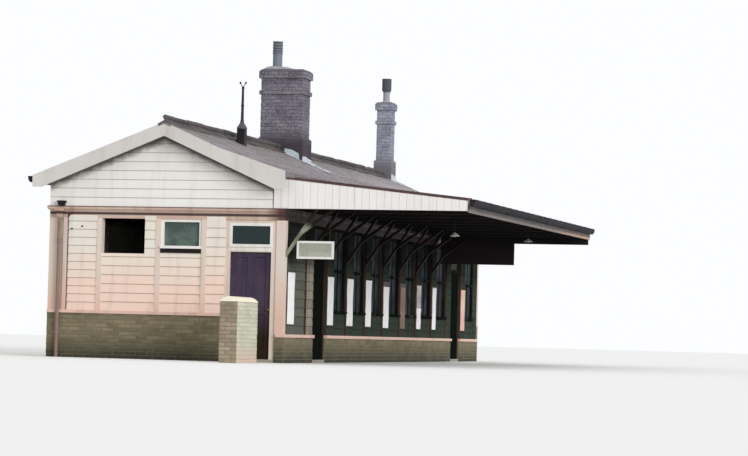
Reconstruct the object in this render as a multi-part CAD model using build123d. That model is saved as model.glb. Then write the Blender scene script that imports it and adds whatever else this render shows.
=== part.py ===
"""Small country railway station building, as an assembly of its real pieces.

A single-storey timber frame, boarded between its posts, stands on a low
masonry plinth under a slated gable roof. A deep canopy covers the platform.
X runs along the platform, Y from the platform side to the back, and Z up.
The origin is on the ground in the middle of the walls. Sizes are millimetres.
"""
from build123d import *
import math
import os

os.makedirs("parts", exist_ok=True)

# Timber frame
wall_length = 16764.0
bay = 1479.0
bay_count = 11
wall_width = 4820.0
wall_thickness = 150.0
corner_post = 180.0
post_width = 100.0
board_recess = 25.0
narrowest_panel = 10.0

# Plinth, sills and floor
side_plinth_height = 490.0
gable_plinth_height = 865.0
sill_height = 60.0
sill_projection = 40.0
floor_thickness = 60.0

# Head beam, frieze moulding and ceiling
head_height = 2720.0
head_beam_depth = 145.0
moulding_height = 85.0
moulding_projection = 45.0
moulding_chamfer = 30.0
ceiling_thickness = 25.0

# Near gable, from the platform corner to the back
doorway_width = 1030.0
boards_by_door = 380.0
gable_window_width = 830.0
boards_by_window = 230.0
open_light_width = 880.0
pipe_recess_width = 110.0
pipe_recess_depth = 75.0
gable_window_height = 570.0
open_light_height = 680.0

# Openings of the platform and back walls, each after a boarded pier
side_opening_width = 880.0
side_window_sill = 1000.0
platform_door_bays = (1, 9)
platform_window_bays = (2, 3, 4, 5, 6, 7, 8, 10)
platform_poster_bays = (0, 2, 3, 4, 5, 6, 7, 8, 10)
back_door_bays = (6,)
back_window_bays = (1, 3, 8, 10)

# Window frames and glass
frame_member = 55.0
frame_depth = 90.0
glass_thickness = 6.0
window_sill_height = 50.0
window_sill_nose = 45.0

# Doors
jamb_width = 80.0
jamb_depth = 80.0
stop_width = 25.0
door_thickness = 45.0
door_top = 2130.0
door_floor_gap = 8.0
door_gap = 5.0
door_lock_gap = 9.0
panel_depth = 10.0
stile_width = 110.0
bottom_rail = 175.0
lock_rail_share = 0.42
transom_bar = 70.0
transom_sash_depth = 50.0
knob_height = 1010.0
knob_radius = 27.0
knob_reach = 55.0
knob_rose_radius = 24.0
knob_rose_thickness = 6.0
knob_neck_radius = 9.5
knob_neck_length = 25.0
knob_widest_reach = 41.0
knob_face_radius = 13.5
hinge_radius = 6.0
hinge_height = 76.0
hinge_plate = 3.0
hinge_plate_width = 34.0
hinge_clearance = 1.0
hinge_from_end = 250.0

# Main roof: the front slope breaks to a flatter pitch above the eaves
gable_rise = 1615.0
back_slope = 0.391
front_slope = 0.44
eaves_slope = 0.325
front_break = 1100.0
roof_drop = 97.0
back_overhang = 270.0
front_overhang = 40.0
gable_overhang = 265.0
barge_thickness = 35.0
barge_below_slates = 30.0
barge_apex_depth = 225.0
barge_foot_rise = 352.0
barge_level_foot = 185.0
ridge_tile_leg = 150.0
ridge_tile_thickness = 22.0
ridge_roll_radius = 45.0
ridge_roll_rise = 115.0

# Canopy
canopy_depth = 3560.0
canopy_length = 12480.0
canopy_fall = 370.0
canopy_deck = 35.0
canopy_deck_lap = 20.0
canopy_panel = 30.0
canopy_joist = 75.0
canopy_fascia_thickness = 30.0
canopy_fascia_drop = 30.0
end_panel_drop = 150.0
end_board_drop = 650.0
end_board_width = 1810.0
bracket_reach = 620.0
bracket_drop = 930.0
bracket_thickness = 70.0
bracket_depth = 60.0
fork_reach = 960.0
fork_rise = 430.0

# Gutters and rainwater pipes
gutter_width = 112.0
gutter_depth = 120.0
gutter_wall = 8.0
gutter_sole_share = 0.55
gutter_lip_share = 0.88
gutter_belly_share = 0.66
pipe_radius = 36.0
pipe_bend_radius = 90.0
pipe_wall_gap = 4.0
pipe_neck_drop = 140.0
pipe_neck_length = 300.0
hopper_width = 150.0
hopper_height = 170.0

# Chimneys
big_chimney_from_near_end = 7380.0
big_chimney_length = 600.0
big_chimney_width = 940.0
big_chimney_rise = 1815.0
big_chimney_foot_rise = 320.0
big_pot_offset = 210.0
small_chimney_size = 360.0
small_chimney_rise = 1885.0
small_chimney_foot_rise = 435.0
chimney_foot_projection = 45.0
chimney_foot_chamfer = 40.0
chimney_cap_height = 200.0
chimney_neck_height = 270.0
string_height = 85.0
string_projection = 35.0
cap_projection = 45.0

# Chimney pots: a banded one on the big stack and a waisted one on the small stack
pot_bed_height = 40.0
pot_bed_radius = 145.0
pot_wall = 25.0
pot_bore_depth = 300.0
banded_pot_height = 640.0
banded_pot_radius = 104.0
pot_band_radius = 115.0
pot_band_height = 24.0
pot_band_pitch = 62.0
pot_band_count = 5
waisted_pot_height = 600.0
waist_radius = 84.0
waist_height = 250.0
drum_radius = 118.0
drum_start = 320.0

# Roof vent
vent_from_near_end = 3690.0
vent_from_ridge = 290.0
vent_base_size = 165.0
vent_base_height = 325.0
vent_bell_radius = 108.0
vent_bell_lip = 22.0
vent_bell_height = 165.0
vent_rod_radius = 18.0
vent_rod_tip_radius = 11.0
vent_rod_height = 700.0
vent_fork_radius = 8.0
vent_fork_length = 125.0
vent_fork_angle = 28.0

# Poster boards, hanging name board and lamps
poster_board_width = 480.0
poster_board_height = 1010.0
poster_board_bottom = 740.0
poster_board_thickness = 22.0
name_board_length = 730.0
name_board_height = 340.0
name_board_thickness = 45.0
name_board_from_wall = 200.0
name_board_rim = 40.0
name_board_recess = 12.0
hanger_radius = 8.0
hanger_length = 610.0
lamp_from_wall = 2270.0
lamp_joists_from_end = (5, 0)
lamp_drops = (230.0, 45.0)
lamp_bulb_radius = 32.0
lamp_bulb_drop = 25.0
lamp_shade_crown = 12.0
lamp_shade_radius = 105.0
lamp_shade_height = 70.0
lamp_shade_wall = 6.0
lamp_rod_radius = 9.0

# Screen wall before the side door
screen_gap = 850.0
screen_length = 1260.0
screen_thickness = 350.0
screen_height = 1130.0
screen_from_corner = 240.0
coping_rise = 95.0

# Values worked out from those above
x_near = -wall_length / 2
x_far = wall_length / 2
y_front = -wall_width / 2
y_back = wall_width / 2
plinth_thickness = corner_post
moulding_bottom = head_height + head_beam_depth
frieze_top = moulding_bottom + moulding_height
name_board_bottom = frieze_top - hanger_length - name_board_height
ridge_height = frieze_top + gable_rise
gable_window_sill = head_height - gable_window_height
open_light_sill = head_height - open_light_height
pier_width = bay - post_width - side_opening_width
side_sill_top = side_plinth_height + sill_height
gable_sill_top = gable_plinth_height + sill_height
leaf_outer_face = x_near + board_recess + jamb_depth - door_thickness
leaf_inner_face = leaf_outer_face + door_thickness
canopy_edge_y = y_front - canopy_depth
canopy_end_x = x_near + canopy_length
eave_front_y = y_front - front_overhang
eave_back_y = y_back + back_overhang
barge_foot = frieze_top + barge_foot_rise
big_chimney_x = x_near + big_chimney_from_near_end
big_chimney_top = ridge_height + big_chimney_rise
small_chimney_x1 = x_far - plinth_thickness
small_chimney_x0 = small_chimney_x1 - small_chimney_size
small_chimney_top = ridge_height + small_chimney_rise


def block(x0, x1, y0, y1, z0, z1):
    """A straight piece between two opposite corners."""
    centre = Pos((x0 + x1) / 2, (y0 + y1) / 2, (z0 + z1) / 2)
    return centre * Box(x1 - x0, y1 - y0, z1 - z0)


def prism_along_x(points, x0, x1):
    """A profile of (y, z) points, run from x0 to x1."""
    return extrude(Plane.YZ.offset(x0) * Polygon(*points, align=None), amount=x1 - x0, dir=(1, 0, 0))


def standing(radius, height):
    """A round bar that stands on the origin."""
    return Cylinder(radius, height, align=(Align.CENTER, Align.CENTER, Align.MIN))


def write(name, *solids):
    """Write one node from its solids."""
    export_step(Compound(children=list(solids)), os.path.join("parts", name + ".step"))


def roof_top(y):
    """Height of the slated surface at a place across the roof."""
    if y >= 0:
        return ridge_height - back_slope * y
    if y >= -front_break:
        return ridge_height + front_slope * y
    return ridge_height - front_slope * front_break + eaves_slope * (y + front_break)


def roof_under(y):
    """Height of the roof's underside at a place across the roof."""
    return roof_top(y) - roof_drop


def roof_line(y0, y1, drop):
    """Points of a line at a drop under the slates, with the roof's own breaks in it."""
    breaks = [y for y in (-front_break, 0) if min(y0, y1) < y < max(y0, y1)]
    places = sorted([y0, y1] + breaks, reverse=y1 < y0)
    return [(y, roof_top(y) - drop) for y in places]


canopy_wall_height = roof_under(eave_front_y) - canopy_deck
canopy_edge_height = canopy_wall_height - canopy_fall


def deck_under(y):
    """Height of the canopy deck's underside, which meets the roof's underside at the eaves."""
    return canopy_wall_height - canopy_fall * (eave_front_y - y) / canopy_depth


def spans(layout, start, total):
    """Places of the members of a wall: the member without a width takes what is left."""
    rest = total - sum(width for kind, width in layout if width)
    places = []
    for kind, width in layout:
        end = start + (width or rest)
        places.append((kind, start, end))
        start = end
    return places


near_layout = (
    ("post", corner_post),
    ("doorway", doorway_width),
    ("boards", boards_by_door),
    ("post", post_width),
    ("window", gable_window_width),
    ("post", post_width),
    ("boards", boards_by_window),
    ("open", open_light_width),
    ("post", post_width),
    ("boards", None),
    ("post", post_width),
    ("recess", pipe_recess_width),
    ("post", corner_post),
)
far_layout = (
    ("post", corner_post),
    ("boards", boards_by_door),
    ("post", post_width),
    ("window", gable_window_width),
    ("post", post_width),
    ("boards", None),
    ("post", post_width),
    ("window", gable_window_width),
    ("post", post_width),
    ("boards", boards_by_door),
    ("post", corner_post),
)
near_spans = spans(near_layout, y_front, wall_width)
far_spans = spans(far_layout, y_front, wall_width)


def place_of(wanted, places):
    """Start and end of the one member of a kind in a wall."""
    return next((start, end) for kind, start, end in places if kind == wanted)


doorway_start, doorway_end = place_of("doorway", near_spans)


def bay_start(number):
    """Where the clear part of a bay begins, after its post."""
    return x_near + (number * bay + post_width / 2 if number else corner_post)


def bay_end(number):
    """Where the clear part of a bay ends, before the next post."""
    if number < bay_count - 1:
        return x_near + (number + 1) * bay - post_width / 2
    return x_far - corner_post


def opening_of(number):
    """The opening of a bay, as its start and end along the wall."""
    start = bay_start(number) + pier_width
    return start, start + side_opening_width


# The two long walls differ only in their faces and their openings
front_faces = (y_front, y_front + wall_thickness, -1)
back_faces = (y_back, y_back - wall_thickness, 1)


def across(faces, outer, inner):
    """Low and high y of a piece, given its depths behind the outer face of a long wall."""
    face, other, side = faces
    return sorted((face - side * outer, face - side * inner))


def gable_across(end, outer, inner):
    """Low and high x of a piece, given its depths behind the outer face of a gable wall."""
    face = x_near if end < 0 else x_far
    return sorted((face - end * outer, face - end * inner))


def stretches(breaks, start, end):
    """The stretches of a wall between its doorways."""
    result = []
    for low, high in sorted(breaks):
        result.append((start, low))
        start = high
    result.append((start, end))
    return result


def plinth():
    """Masonry under the frame: the gables higher than the long walls, open at the doorways."""
    pieces = []
    for end, y0 in ((-1, doorway_end), (1, y_front)):
        low, high = gable_across(end, 0, plinth_thickness)
        base = block(low, high, y0, y_back, 0, side_sill_top)
        low, high = gable_across(end, 0, wall_thickness)
        pieces.append(base + block(low, high, y0, y_back, side_sill_top, gable_plinth_height))
    for faces, bays in ((front_faces, platform_door_bays), (back_faces, back_door_bays)):
        y0, y1 = across(faces, 0, plinth_thickness)
        start = x_near if faces is front_faces else x_near + plinth_thickness
        for x0, x1 in stretches([opening_of(n) for n in bays], start, x_far - plinth_thickness):
            pieces.append(block(x0, x1, y0, y1, 0, side_plinth_height))
    return pieces


def plinth_sills():
    """Timber sill on the plinth, with a nose that throws the rain clear."""
    pieces = []
    low, high = gable_across(-1, -sill_projection, wall_thickness)
    pieces.append(block(low, high, doorway_end, y_back, gable_plinth_height, gable_sill_top))
    low, high = gable_across(1, -sill_projection, wall_thickness)
    pieces.append(block(low, high, y_front, y_back, gable_plinth_height, gable_sill_top))
    for faces, bays in ((front_faces, platform_door_bays), (back_faces, back_door_bays)):
        y0, y1 = across(faces, -sill_projection, wall_thickness)
        start = x_near - sill_projection if faces is front_faces else x_near + plinth_thickness
        for x0, x1 in stretches([opening_of(n) for n in bays], start, x_far - plinth_thickness):
            pieces.append(block(x0, x1, y0, y1, side_plinth_height, side_sill_top))
    return pieces


def thresholds():
    """Stone steps in the doorways, level with the floor."""
    inner = plinth_thickness
    pieces = [block(x_near, x_near + inner, y_front + inner, doorway_end, 0, floor_thickness)]
    for faces, bays in ((front_faces, platform_door_bays), (back_faces, back_door_bays)):
        y0, y1 = across(faces, 0, inner)
        for number in bays:
            x0, x1 = opening_of(number)
            pieces.append(block(x0, x1, y0, y1, 0, floor_thickness))
    return pieces


def floor():
    """The floor slab inside the plinth."""
    t = plinth_thickness
    return block(x_near + t, x_far - t, y_front + t, y_back - t, 0, floor_thickness)


def gable_posts(end, places, front_foot):
    """The posts of a gable wall, the corner posts among them."""
    x0, x1 = gable_across(end, 0, wall_thickness)
    pieces = []
    for kind, y0, y1 in places:
        if kind == "post":
            foot = front_foot if y0 == y_front else gable_sill_top
            pieces.append(block(x0, x1, y0, y1, foot, head_height))
    return pieces


def gable_boards(end, places):
    """The boarded panels between the posts of a gable wall, set back from their faces."""
    pieces = []
    tops = {"boards": head_height, "recess": head_height}
    tops.update({"window": gable_window_sill, "open": open_light_sill})
    for kind, y0, y1 in places:
        if kind in tops:
            depth = pipe_recess_depth if kind == "recess" else board_recess
            x0, x1 = gable_across(end, depth, wall_thickness)
            pieces.append(block(x0, x1, y0, y1, gable_sill_top, tops[kind]))
    return pieces


def side_posts(faces):
    """The posts of a long wall between its corners."""
    y0, y1 = across(faces, 0, wall_thickness)
    half = post_width / 2
    lines = [x_near + number * bay for number in range(1, bay_count)]
    posts = [block(x - half, x + half, y0, y1, side_sill_top, head_height) for x in lines]
    posts.append(block(x_near + wall_thickness, x_near + corner_post, y0, y1, side_sill_top, head_height))
    posts.append(block(x_far - corner_post, x_far - wall_thickness, y0, y1, side_sill_top, head_height))
    return posts


def side_boards(faces, door_bays, window_bays):
    """The boarded panels of a long wall: below the windows, and in the piers beside them."""
    y0, y1 = across(faces, board_recess, wall_thickness)
    lower = []
    piers = []
    for number in range(bay_count):
        start, end = bay_start(number), bay_end(number)
        if number in door_bays or number in window_bays:
            x0, x1 = opening_of(number)
            piers.append(block(start, x0, y0, y1, side_sill_top, head_height))
            if number in window_bays:
                lower.append(block(x0, x1, y0, y1, side_sill_top, side_window_sill))
            start = x1
        if end - start > narrowest_panel:
            piers.append(block(start, end, y0, y1, side_sill_top, head_height))
    return lower, piers


def frieze():
    """Head beam round the walls with its drip moulding, in four lengths."""
    t = wall_thickness
    p = moulding_projection
    beam = block(x_near, x_far, y_front, y_back, head_height, moulding_bottom)
    drip = block(x_near - p, x_far + p, y_front - p, y_back + p, moulding_bottom, frieze_top)
    lower_edges = drip.edges().group_by(Axis.Z)[0]
    drip = chamfer(lower_edges, moulding_chamfer)
    inside = block(x_near + t, x_far - t, y_front + t, y_back - t, head_height, frieze_top)
    ring = beam + drip - inside
    near_end = block(x_near - p, x_near + t, y_front - p, y_back + p, head_height, frieze_top)
    far_end = block(x_far - t, x_far + p, y_front - p, y_back + p, head_height, frieze_top)
    front_half = block(x_near + t, x_far - t, y_front - p, 0, head_height, frieze_top)
    back_half = block(x_near + t, x_far - t, 0, y_back + p, head_height, frieze_top)
    return [ring & part for part in (near_end, far_end, front_half, back_half)]


def pediment(end):
    """The boarded triangle of a gable, from the frieze to the underside of the roof."""
    x0, x1 = gable_across(end, 0, wall_thickness)
    y0 = y_front + wall_thickness
    points = [(y_back, frieze_top), (y0, frieze_top)] + roof_line(y0, y_back, roof_drop)
    return prism_along_x(points, x0, x1)


def upper_boards(faces):
    """The top strip of a long wall, under the eaves, with its top cut to the roof's slope."""
    y0, y1 = across(faces, 0, wall_thickness)
    points = [(y0, frieze_top), (y1, frieze_top), (y1, roof_under(y1)), (y0, roof_under(y0))]
    if faces is front_faces:
        return prism_along_x(points, x_near + canopy_panel, x_far)
    return prism_along_x(points, x_near + wall_thickness, x_far - wall_thickness)


def big_chimney_core(z0, z1, spread=0.0):
    """A length of the big stack, spread outwards by an amount."""
    half = big_chimney_width / 2 + spread
    return block(big_chimney_x - spread, big_chimney_x + big_chimney_length + spread, -half, half, z0, z1)


def small_chimney_core(z0, z1, spread=0.0):
    """A length of the small stack, spread outwards by an amount."""
    half = small_chimney_size / 2 + spread
    return block(small_chimney_x0 - spread, small_chimney_x1 + spread, -half, half, z0, z1)


def ceiling():
    """Boarded ceiling at the head beam, cut round the two stacks."""
    t = wall_thickness
    z0 = frieze_top - ceiling_thickness
    slab = block(x_near + t, x_far - t, y_front + t, y_back - t, z0, frieze_top)
    return slab - big_chimney_core(z0, frieze_top) - small_chimney_core(z0, frieze_top)


def roof_slope_slab(side):
    """One slope of the roof, cut round the stacks."""
    y1 = eave_back_y if side > 0 else eave_front_y
    points = roof_line(0, y1, 0) + roof_line(y1, 0, roof_drop)
    slab = prism_along_x(points, x_near - gable_overhang, x_far + gable_overhang)
    low, high = roof_under(y1), ridge_height
    return slab - big_chimney_core(low, high) - small_chimney_core(low, high)


def ridge_tiles():
    """Ridge tiles with a roll on their crest, in the three lengths that the stacks leave."""
    leg = ridge_tile_leg
    cover = ridge_tile_thickness
    outline = roof_line(-leg, leg, 0) + roof_line(leg, -leg, -cover)
    roll = Pos(0, ridge_height + ridge_roll_rise) * Circle(ridge_roll_radius)
    neck_height = ridge_roll_rise + cover
    neck = Pos(0, ridge_height + neck_height / 2) * Rectangle(ridge_roll_radius, neck_height)
    profile = Polygon(*outline, align=None) + roll + neck
    p = chimney_foot_projection
    lengths = ((x_near - gable_overhang, big_chimney_x - p),
               (big_chimney_x + big_chimney_length + p, small_chimney_x0 - p),
               (small_chimney_x1 + p, x_far + gable_overhang))
    return [extrude(Plane.YZ.offset(x0) * profile, amount=x1 - x0, dir=(1, 0, 0)) for x0, x1 in lengths]


def bargeboards(end):
    """A pair of bargeboards that meet at the apex, each with a plumb end and a level foot."""
    x0, x1 = gable_across(end, -gable_overhang - barge_thickness, -gable_overhang)
    apex = ridge_height - barge_below_slates - barge_apex_depth
    boards = []
    for reach in (eave_front_y, eave_back_y):
        heel = reach - math.copysign(barge_level_foot, reach)
        points = roof_line(0, reach, barge_below_slates)
        points += [(reach, barge_foot), (heel, barge_foot), (0, apex)]
        boards.append(prism_along_x(points, x0, x1))
    return boards


def canopy_outline(start):
    """The wedge under the canopy deck, from a line at the wall to the outer edge."""
    points = [(start, frieze_top), (canopy_edge_y, frieze_top), (canopy_edge_y, deck_under(canopy_edge_y)),
              (y_front, deck_under(y_front))]
    if start > y_front:
        points += [(y_front, roof_under(y_front)), (start, roof_under(start))]
    return points


def canopy_deck_slab():
    """The boarded and covered deck, which laps under the eaves and falls towards the track."""
    points = [(y, deck_under(y) + rise) for y, rise in
              ((y_front, 0), (canopy_edge_y, 0), (canopy_edge_y, canopy_deck), (y_front, canopy_deck))]
    return prism_along_x(points, x_near - canopy_deck_lap, canopy_end_x + canopy_deck_lap)


def joist_lines():
    """Where the canopy joists stand: over each post that the canopy covers."""
    lines = [x_near + number * bay for number in range(1, bay_count)]
    return [x for x in lines if x + canopy_joist / 2 < canopy_end_x - canopy_panel]


def canopy_joists():
    """Wedge-shaped joists that carry the deck from the wall to the fascia."""
    half = canopy_joist / 2
    return [prism_along_x(canopy_outline(y_front), x - half, x + half) for x in joist_lines()]


def canopy_near_panel():
    """The boarded wedge that closes the canopy at the near gable."""
    return prism_along_x(canopy_outline(y_front + wall_thickness), x_near, x_near + canopy_panel)


def canopy_far_panel():
    """The boarded wedge at the far end, hung lower than the joists, and lowest next to the wall."""
    x0, x1 = canopy_end_x - canopy_panel, canopy_end_x
    inner = y_front - moulding_projection
    wedge = prism_along_x(canopy_outline(y_front), x0, x1)
    hung = block(x0, x1, canopy_edge_y, inner, frieze_top - end_panel_drop, frieze_top)
    deep = block(x0, x1, y_front - end_board_width, inner, frieze_top - end_board_drop, frieze_top)
    return wedge + hung + deep


def canopy_fascia():
    """The long board at the outer edge of the canopy."""
    return block(x_near - canopy_deck_lap, canopy_end_x + canopy_deck_lap,
                 canopy_edge_y - canopy_fascia_thickness, canopy_edge_y,
                 frieze_top - canopy_fascia_drop, canopy_edge_height + canopy_deck)


def gutter(y, z, side, x0, x1):
    """A run of cast gutter with a flat back, a sloping front, an open top and closed ends."""
    w = gutter_width * side
    t = gutter_wall * side
    d = gutter_depth
    sole, lip = w * gutter_sole_share, w * gutter_lip_share
    belly = z - d * gutter_belly_share
    outer = [(y, z), (y, z - d), (y + sole, z - d), (y + lip, belly), (y + w, z)]
    inner = [(y + t, z), (y + t, z - d + gutter_wall), (y + sole - t / 2, z - d + gutter_wall),
             (y + lip - t, belly + gutter_wall / 2), (y + w - t, z)]
    return prism_along_x(outer, x0, x1) - prism_along_x(inner, x0 + gutter_wall, x1 - gutter_wall)


def gutters():
    """Gutters of the canopy, of the back eaves, and of the short eaves past the canopy."""
    edge = canopy_edge_y - canopy_fascia_thickness
    top = canopy_edge_height + canopy_deck - gutter_wall
    canopy = gutter(edge, top, -1, x_near - canopy_deck_lap, canopy_end_x + canopy_deck_lap)
    low, high = x_near - gable_overhang, x_far + gable_overhang
    back = gutter(eave_back_y, roof_top(eave_back_y) - gutter_wall, 1, low, high)
    front_start = canopy_end_x + canopy_deck_lap + gutter_wall
    front = gutter(eave_front_y, roof_top(eave_front_y) - gutter_wall, -1, front_start, high)
    return [canopy, back, front]


def canopy_brackets():
    """Forked struts from the posts to the canopy joists."""
    top = frieze_top
    foot = top - bracket_drop
    head = y_front - bracket_reach
    pitch = bracket_drop / bracket_reach
    width = bracket_depth * pitch
    strut = [(y_front, foot), (y_front, foot + width), (head + bracket_depth, top), (head, top)]
    fork_y = y_front - fork_rise / pitch
    fork = [(fork_y, foot + fork_rise), (fork_y, foot + fork_rise + width),
            (y_front - fork_reach + bracket_depth, top), (y_front - fork_reach, top)]
    half = bracket_thickness / 2
    lines = [x_near + canopy_panel + half] + joist_lines()
    brackets = []
    for x in lines:
        brackets.append(prism_along_x(strut, x - half, x + half) + prism_along_x(fork, x - half, x + half))
    return brackets


def window(plane_low, plane_high, a0, a1, z0, z1, along_x, rail, nose_at):
    """A window frame with its sill nose, and its glass, in a wall that runs along x or y."""
    m = frame_member

    def place(low, high, s0, s1, b0, b1):
        if along_x:
            return block(s0, s1, low, high, b0, b1)
        return block(low, high, s0, s1, b0, b1)

    frame = place(plane_low, plane_high, a0, a1, z0, z1)
    lights = [(z0 + m, z1 - m)]
    if rail:
        middle = (z0 + z1) / 2
        lights = [(z0 + m, middle - m / 2), (middle + m / 2, z1 - m)]
    glass = []
    centre = (plane_low + plane_high) / 2
    half = glass_thickness / 2
    for low, high in lights:
        frame -= place(plane_low, plane_high, a0 + m, a1 - m, low, high)
        glass.append(place(centre - half, centre + half, a0 + m, a1 - m, low, high))
    low, high = sorted((nose_at, plane_low if nose_at < plane_low else plane_high))
    frame += place(low, high, a0, a1, z0, z0 + window_sill_height)
    return frame, glass


def windows():
    """All the frames and all the panes."""
    frames = []
    panes = []

    def add(made):
        frames.append(made[0])
        panes.extend(made[1])

    for end, places in ((-1, near_spans), (1, far_spans)):
        low, high = gable_across(end, board_recess, board_recess + frame_depth)
        face = x_near if end < 0 else x_far
        for kind, y0, y1 in places:
            if kind == "window":
                nose = face + end * window_sill_nose
                add(window(low, high, y0, y1, gable_window_sill, head_height, False, False, nose))
    for faces, bays in ((front_faces, platform_window_bays), (back_faces, back_window_bays)):
        low, high = across(faces, board_recess, board_recess + frame_depth)
        nose = faces[0] + faces[2] * window_sill_nose
        for number in bays:
            x0, x1 = opening_of(number)
            add(window(low, high, x0, x1, side_window_sill, head_height, True, True, nose))
    low = x_near + board_recess
    sill = door_top + door_gap + transom_bar
    top = head_height - frame_member
    add(window(low, low + transom_sash_depth, door_y0, door_y1, sill, top, False, False, x_near))
    return frames, panes


door_y0 = doorway_start + jamb_width
door_y1 = doorway_end - jamb_width
hinge_x = leaf_inner_face + hinge_radius
hinge_y = door_y1 - door_gap / 2


def gents_door_frame():
    """Jambs, transom bar, top rail and stops of the side doorway."""
    low, high = x_near + board_recess, leaf_inner_face
    bar = door_top + door_gap
    stop_high = leaf_outer_face - door_gap
    pieces = [
        block(low, high, doorway_start, door_y0, floor_thickness, head_height),
        block(low, high, door_y1, doorway_end, floor_thickness, head_height),
        block(low, high, door_y0, door_y1, bar, bar + transom_bar),
        block(low, high, door_y0, door_y1, head_height - frame_member, head_height),
        block(low, stop_high, door_y0, door_y0 + stop_width, floor_thickness, bar),
        block(low, stop_high, door_y1 - stop_width, door_y1, floor_thickness, bar),
        block(low, stop_high, door_y0 + stop_width, door_y1 - stop_width, bar - stop_width, bar),
    ]
    return pieces


def panelled_leaf(length, height):
    """A door leaf lying in X and Z from the origin, with sunk panels on both faces."""
    leaf = block(0, length, 0, door_thickness, 0, height)
    s = stile_width
    lock = height * lock_rail_share
    rows = ((bottom_rail, lock), (lock + s, height - s))
    columns = ((s, length / 2 - s / 2), (length / 2 + s / 2, length - s))
    for z0, z1 in rows:
        for x0, x1 in columns:
            leaf -= block(x0, x1, 0, panel_depth, z0, z1)
            leaf -= block(x0, x1, door_thickness - panel_depth, door_thickness, z0, z1)
    return leaf


def gents_door():
    """The side door's leaf."""
    low = door_y0 + door_lock_gap
    high = door_y1 - door_gap
    bottom = floor_thickness + door_floor_gap
    leaf = panelled_leaf(high - low, door_top - bottom)
    return Pos(leaf_inner_face, low, bottom) * Rot(0, 0, 90) * leaf


def gents_door_knob():
    """A turned knob and rose on each face of the side door."""
    y = door_y0 + door_lock_gap + stile_width / 2
    neck_end = (knob_neck_radius, knob_neck_length)
    tip = (knob_face_radius, knob_reach)
    rose = [(0, 0), (knob_rose_radius, 0), (knob_rose_radius, knob_rose_thickness)]
    profile = Polyline(*rose, (knob_neck_radius, knob_rose_thickness), neck_end)
    bulge = ThreePointArc(neck_end, (knob_radius, knob_widest_reach), tip)
    axis = Polyline(tip, (0, knob_reach), (0, 0))
    face = make_face(profile + bulge + axis)
    knob = revolve(Plane.XZ * face, Axis.Z)
    inside = Pos(leaf_inner_face, y, knob_height) * Rot(0, 90, 0) * knob
    outside = Pos(leaf_outer_face, y, knob_height) * Rot(0, -90, 0) * knob
    return [inside, outside]


def hinge_parts():
    """Butt hinges: the upper half of each turns with the door, the lower half stays on the jamb."""
    turning = []
    fixed = []
    half = hinge_height / 2
    for z in (floor_thickness + hinge_from_end, door_top - hinge_from_end):
        knuckle = standing(hinge_radius, half - hinge_clearance)
        upper = Pos(hinge_x, hinge_y, z + half) * knuckle
        x0 = leaf_inner_face
        x1 = leaf_inner_face + hinge_plate
        top = z + hinge_height - hinge_clearance
        upper += block(x0, x1, hinge_y - hinge_plate_width, hinge_y, z + half, top)
        lower = Pos(hinge_x, hinge_y, z) * knuckle
        lower += block(x0, x1, hinge_y, hinge_y + hinge_plate_width, z, z + half - hinge_clearance)
        turning.append(upper)
        fixed.append(lower)
    return turning, fixed


def side_doors():
    """Leaves and frames of the doors in the long walls."""
    leaves = []
    frames = []
    for faces, bays in ((front_faces, platform_door_bays), (back_faces, back_door_bays)):
        y0, y1 = across(faces, board_recess, board_recess + jamb_depth)
        leaf_y = (y0 + y1 - door_thickness) / 2
        for number in bays:
            x0, x1 = opening_of(number)
            bar = door_top + door_gap
            frame = block(x0, x1, y0, y1, floor_thickness, head_height)
            frame -= block(x0 + frame_member, x1 - frame_member, y0, y1, floor_thickness, bar)
            frame -= block(x0 + frame_member, x1 - frame_member, y0, y1, bar + transom_bar,
                           head_height - frame_member)
            frames.append(frame)
            leaf = panelled_leaf(x1 - x0 - 2 * frame_member, bar - floor_thickness)
            leaves.append(Pos(x0 + frame_member, leaf_y, floor_thickness) * leaf)
    return leaves, frames


def side_door_lights():
    """Panes over the doors of the long walls."""
    panes = []
    for faces, bays in ((front_faces, platform_door_bays), (back_faces, back_door_bays)):
        y0, y1 = across(faces, board_recess, board_recess + jamb_depth)
        middle = (y0 + y1) / 2
        half = glass_thickness / 2
        for number in bays:
            x0, x1 = opening_of(number)
            panes.append(block(x0 + frame_member, x1 - frame_member, middle - half, middle + half,
                               door_top + door_gap + transom_bar, head_height - frame_member))
    return panes


def stack_foot(core, top):
    """The thicker base of a stack, from the slates up to its bevelled top."""
    foot = core(barge_foot, top, chimney_foot_projection)
    foot = chamfer(foot.edges().group_by(Axis.Z)[-1], chimney_foot_chamfer)
    under = roof_line(eave_front_y, eave_back_y, 0) + [(eave_back_y, 0), (eave_front_y, 0)]
    return foot - prism_along_x(under, x_near, x_far)


def stack(core, top, foot_top):
    """A stack with its foot, string course, neck and oversailing cap."""
    cap = top - chimney_cap_height
    string = cap - chimney_neck_height
    shaft = core(floor_thickness, top)
    shaft += stack_foot(core, foot_top)
    shaft += core(string - string_height, string, string_projection)
    shaft += chamfer(core(cap, top, cap_projection).edges().group_by(Axis.Z)[-1], cap_projection)
    return shaft


def big_chimney():
    """The broad stack that stands across the ridge."""
    return stack(big_chimney_core, big_chimney_top, ridge_height + big_chimney_foot_rise)


def small_chimney():
    """The slender stack at the far end."""
    return stack(small_chimney_core, small_chimney_top, ridge_height + small_chimney_foot_rise)


def turned_pot(wall_points, height):
    """A pot turned from the points of its outer face, with its bed of mortar and an open bore."""
    rim = wall_points[-1][0]
    bore = rim - pot_wall
    depth = height - pot_bore_depth
    profile = [(0, 0), (pot_bed_radius, 0)] + wall_points
    profile += [(bore, height), (bore, depth), (0, depth), (0, 0)]
    return revolve(Plane.XZ * make_face(Polyline(*profile)), Axis.Z)


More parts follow.
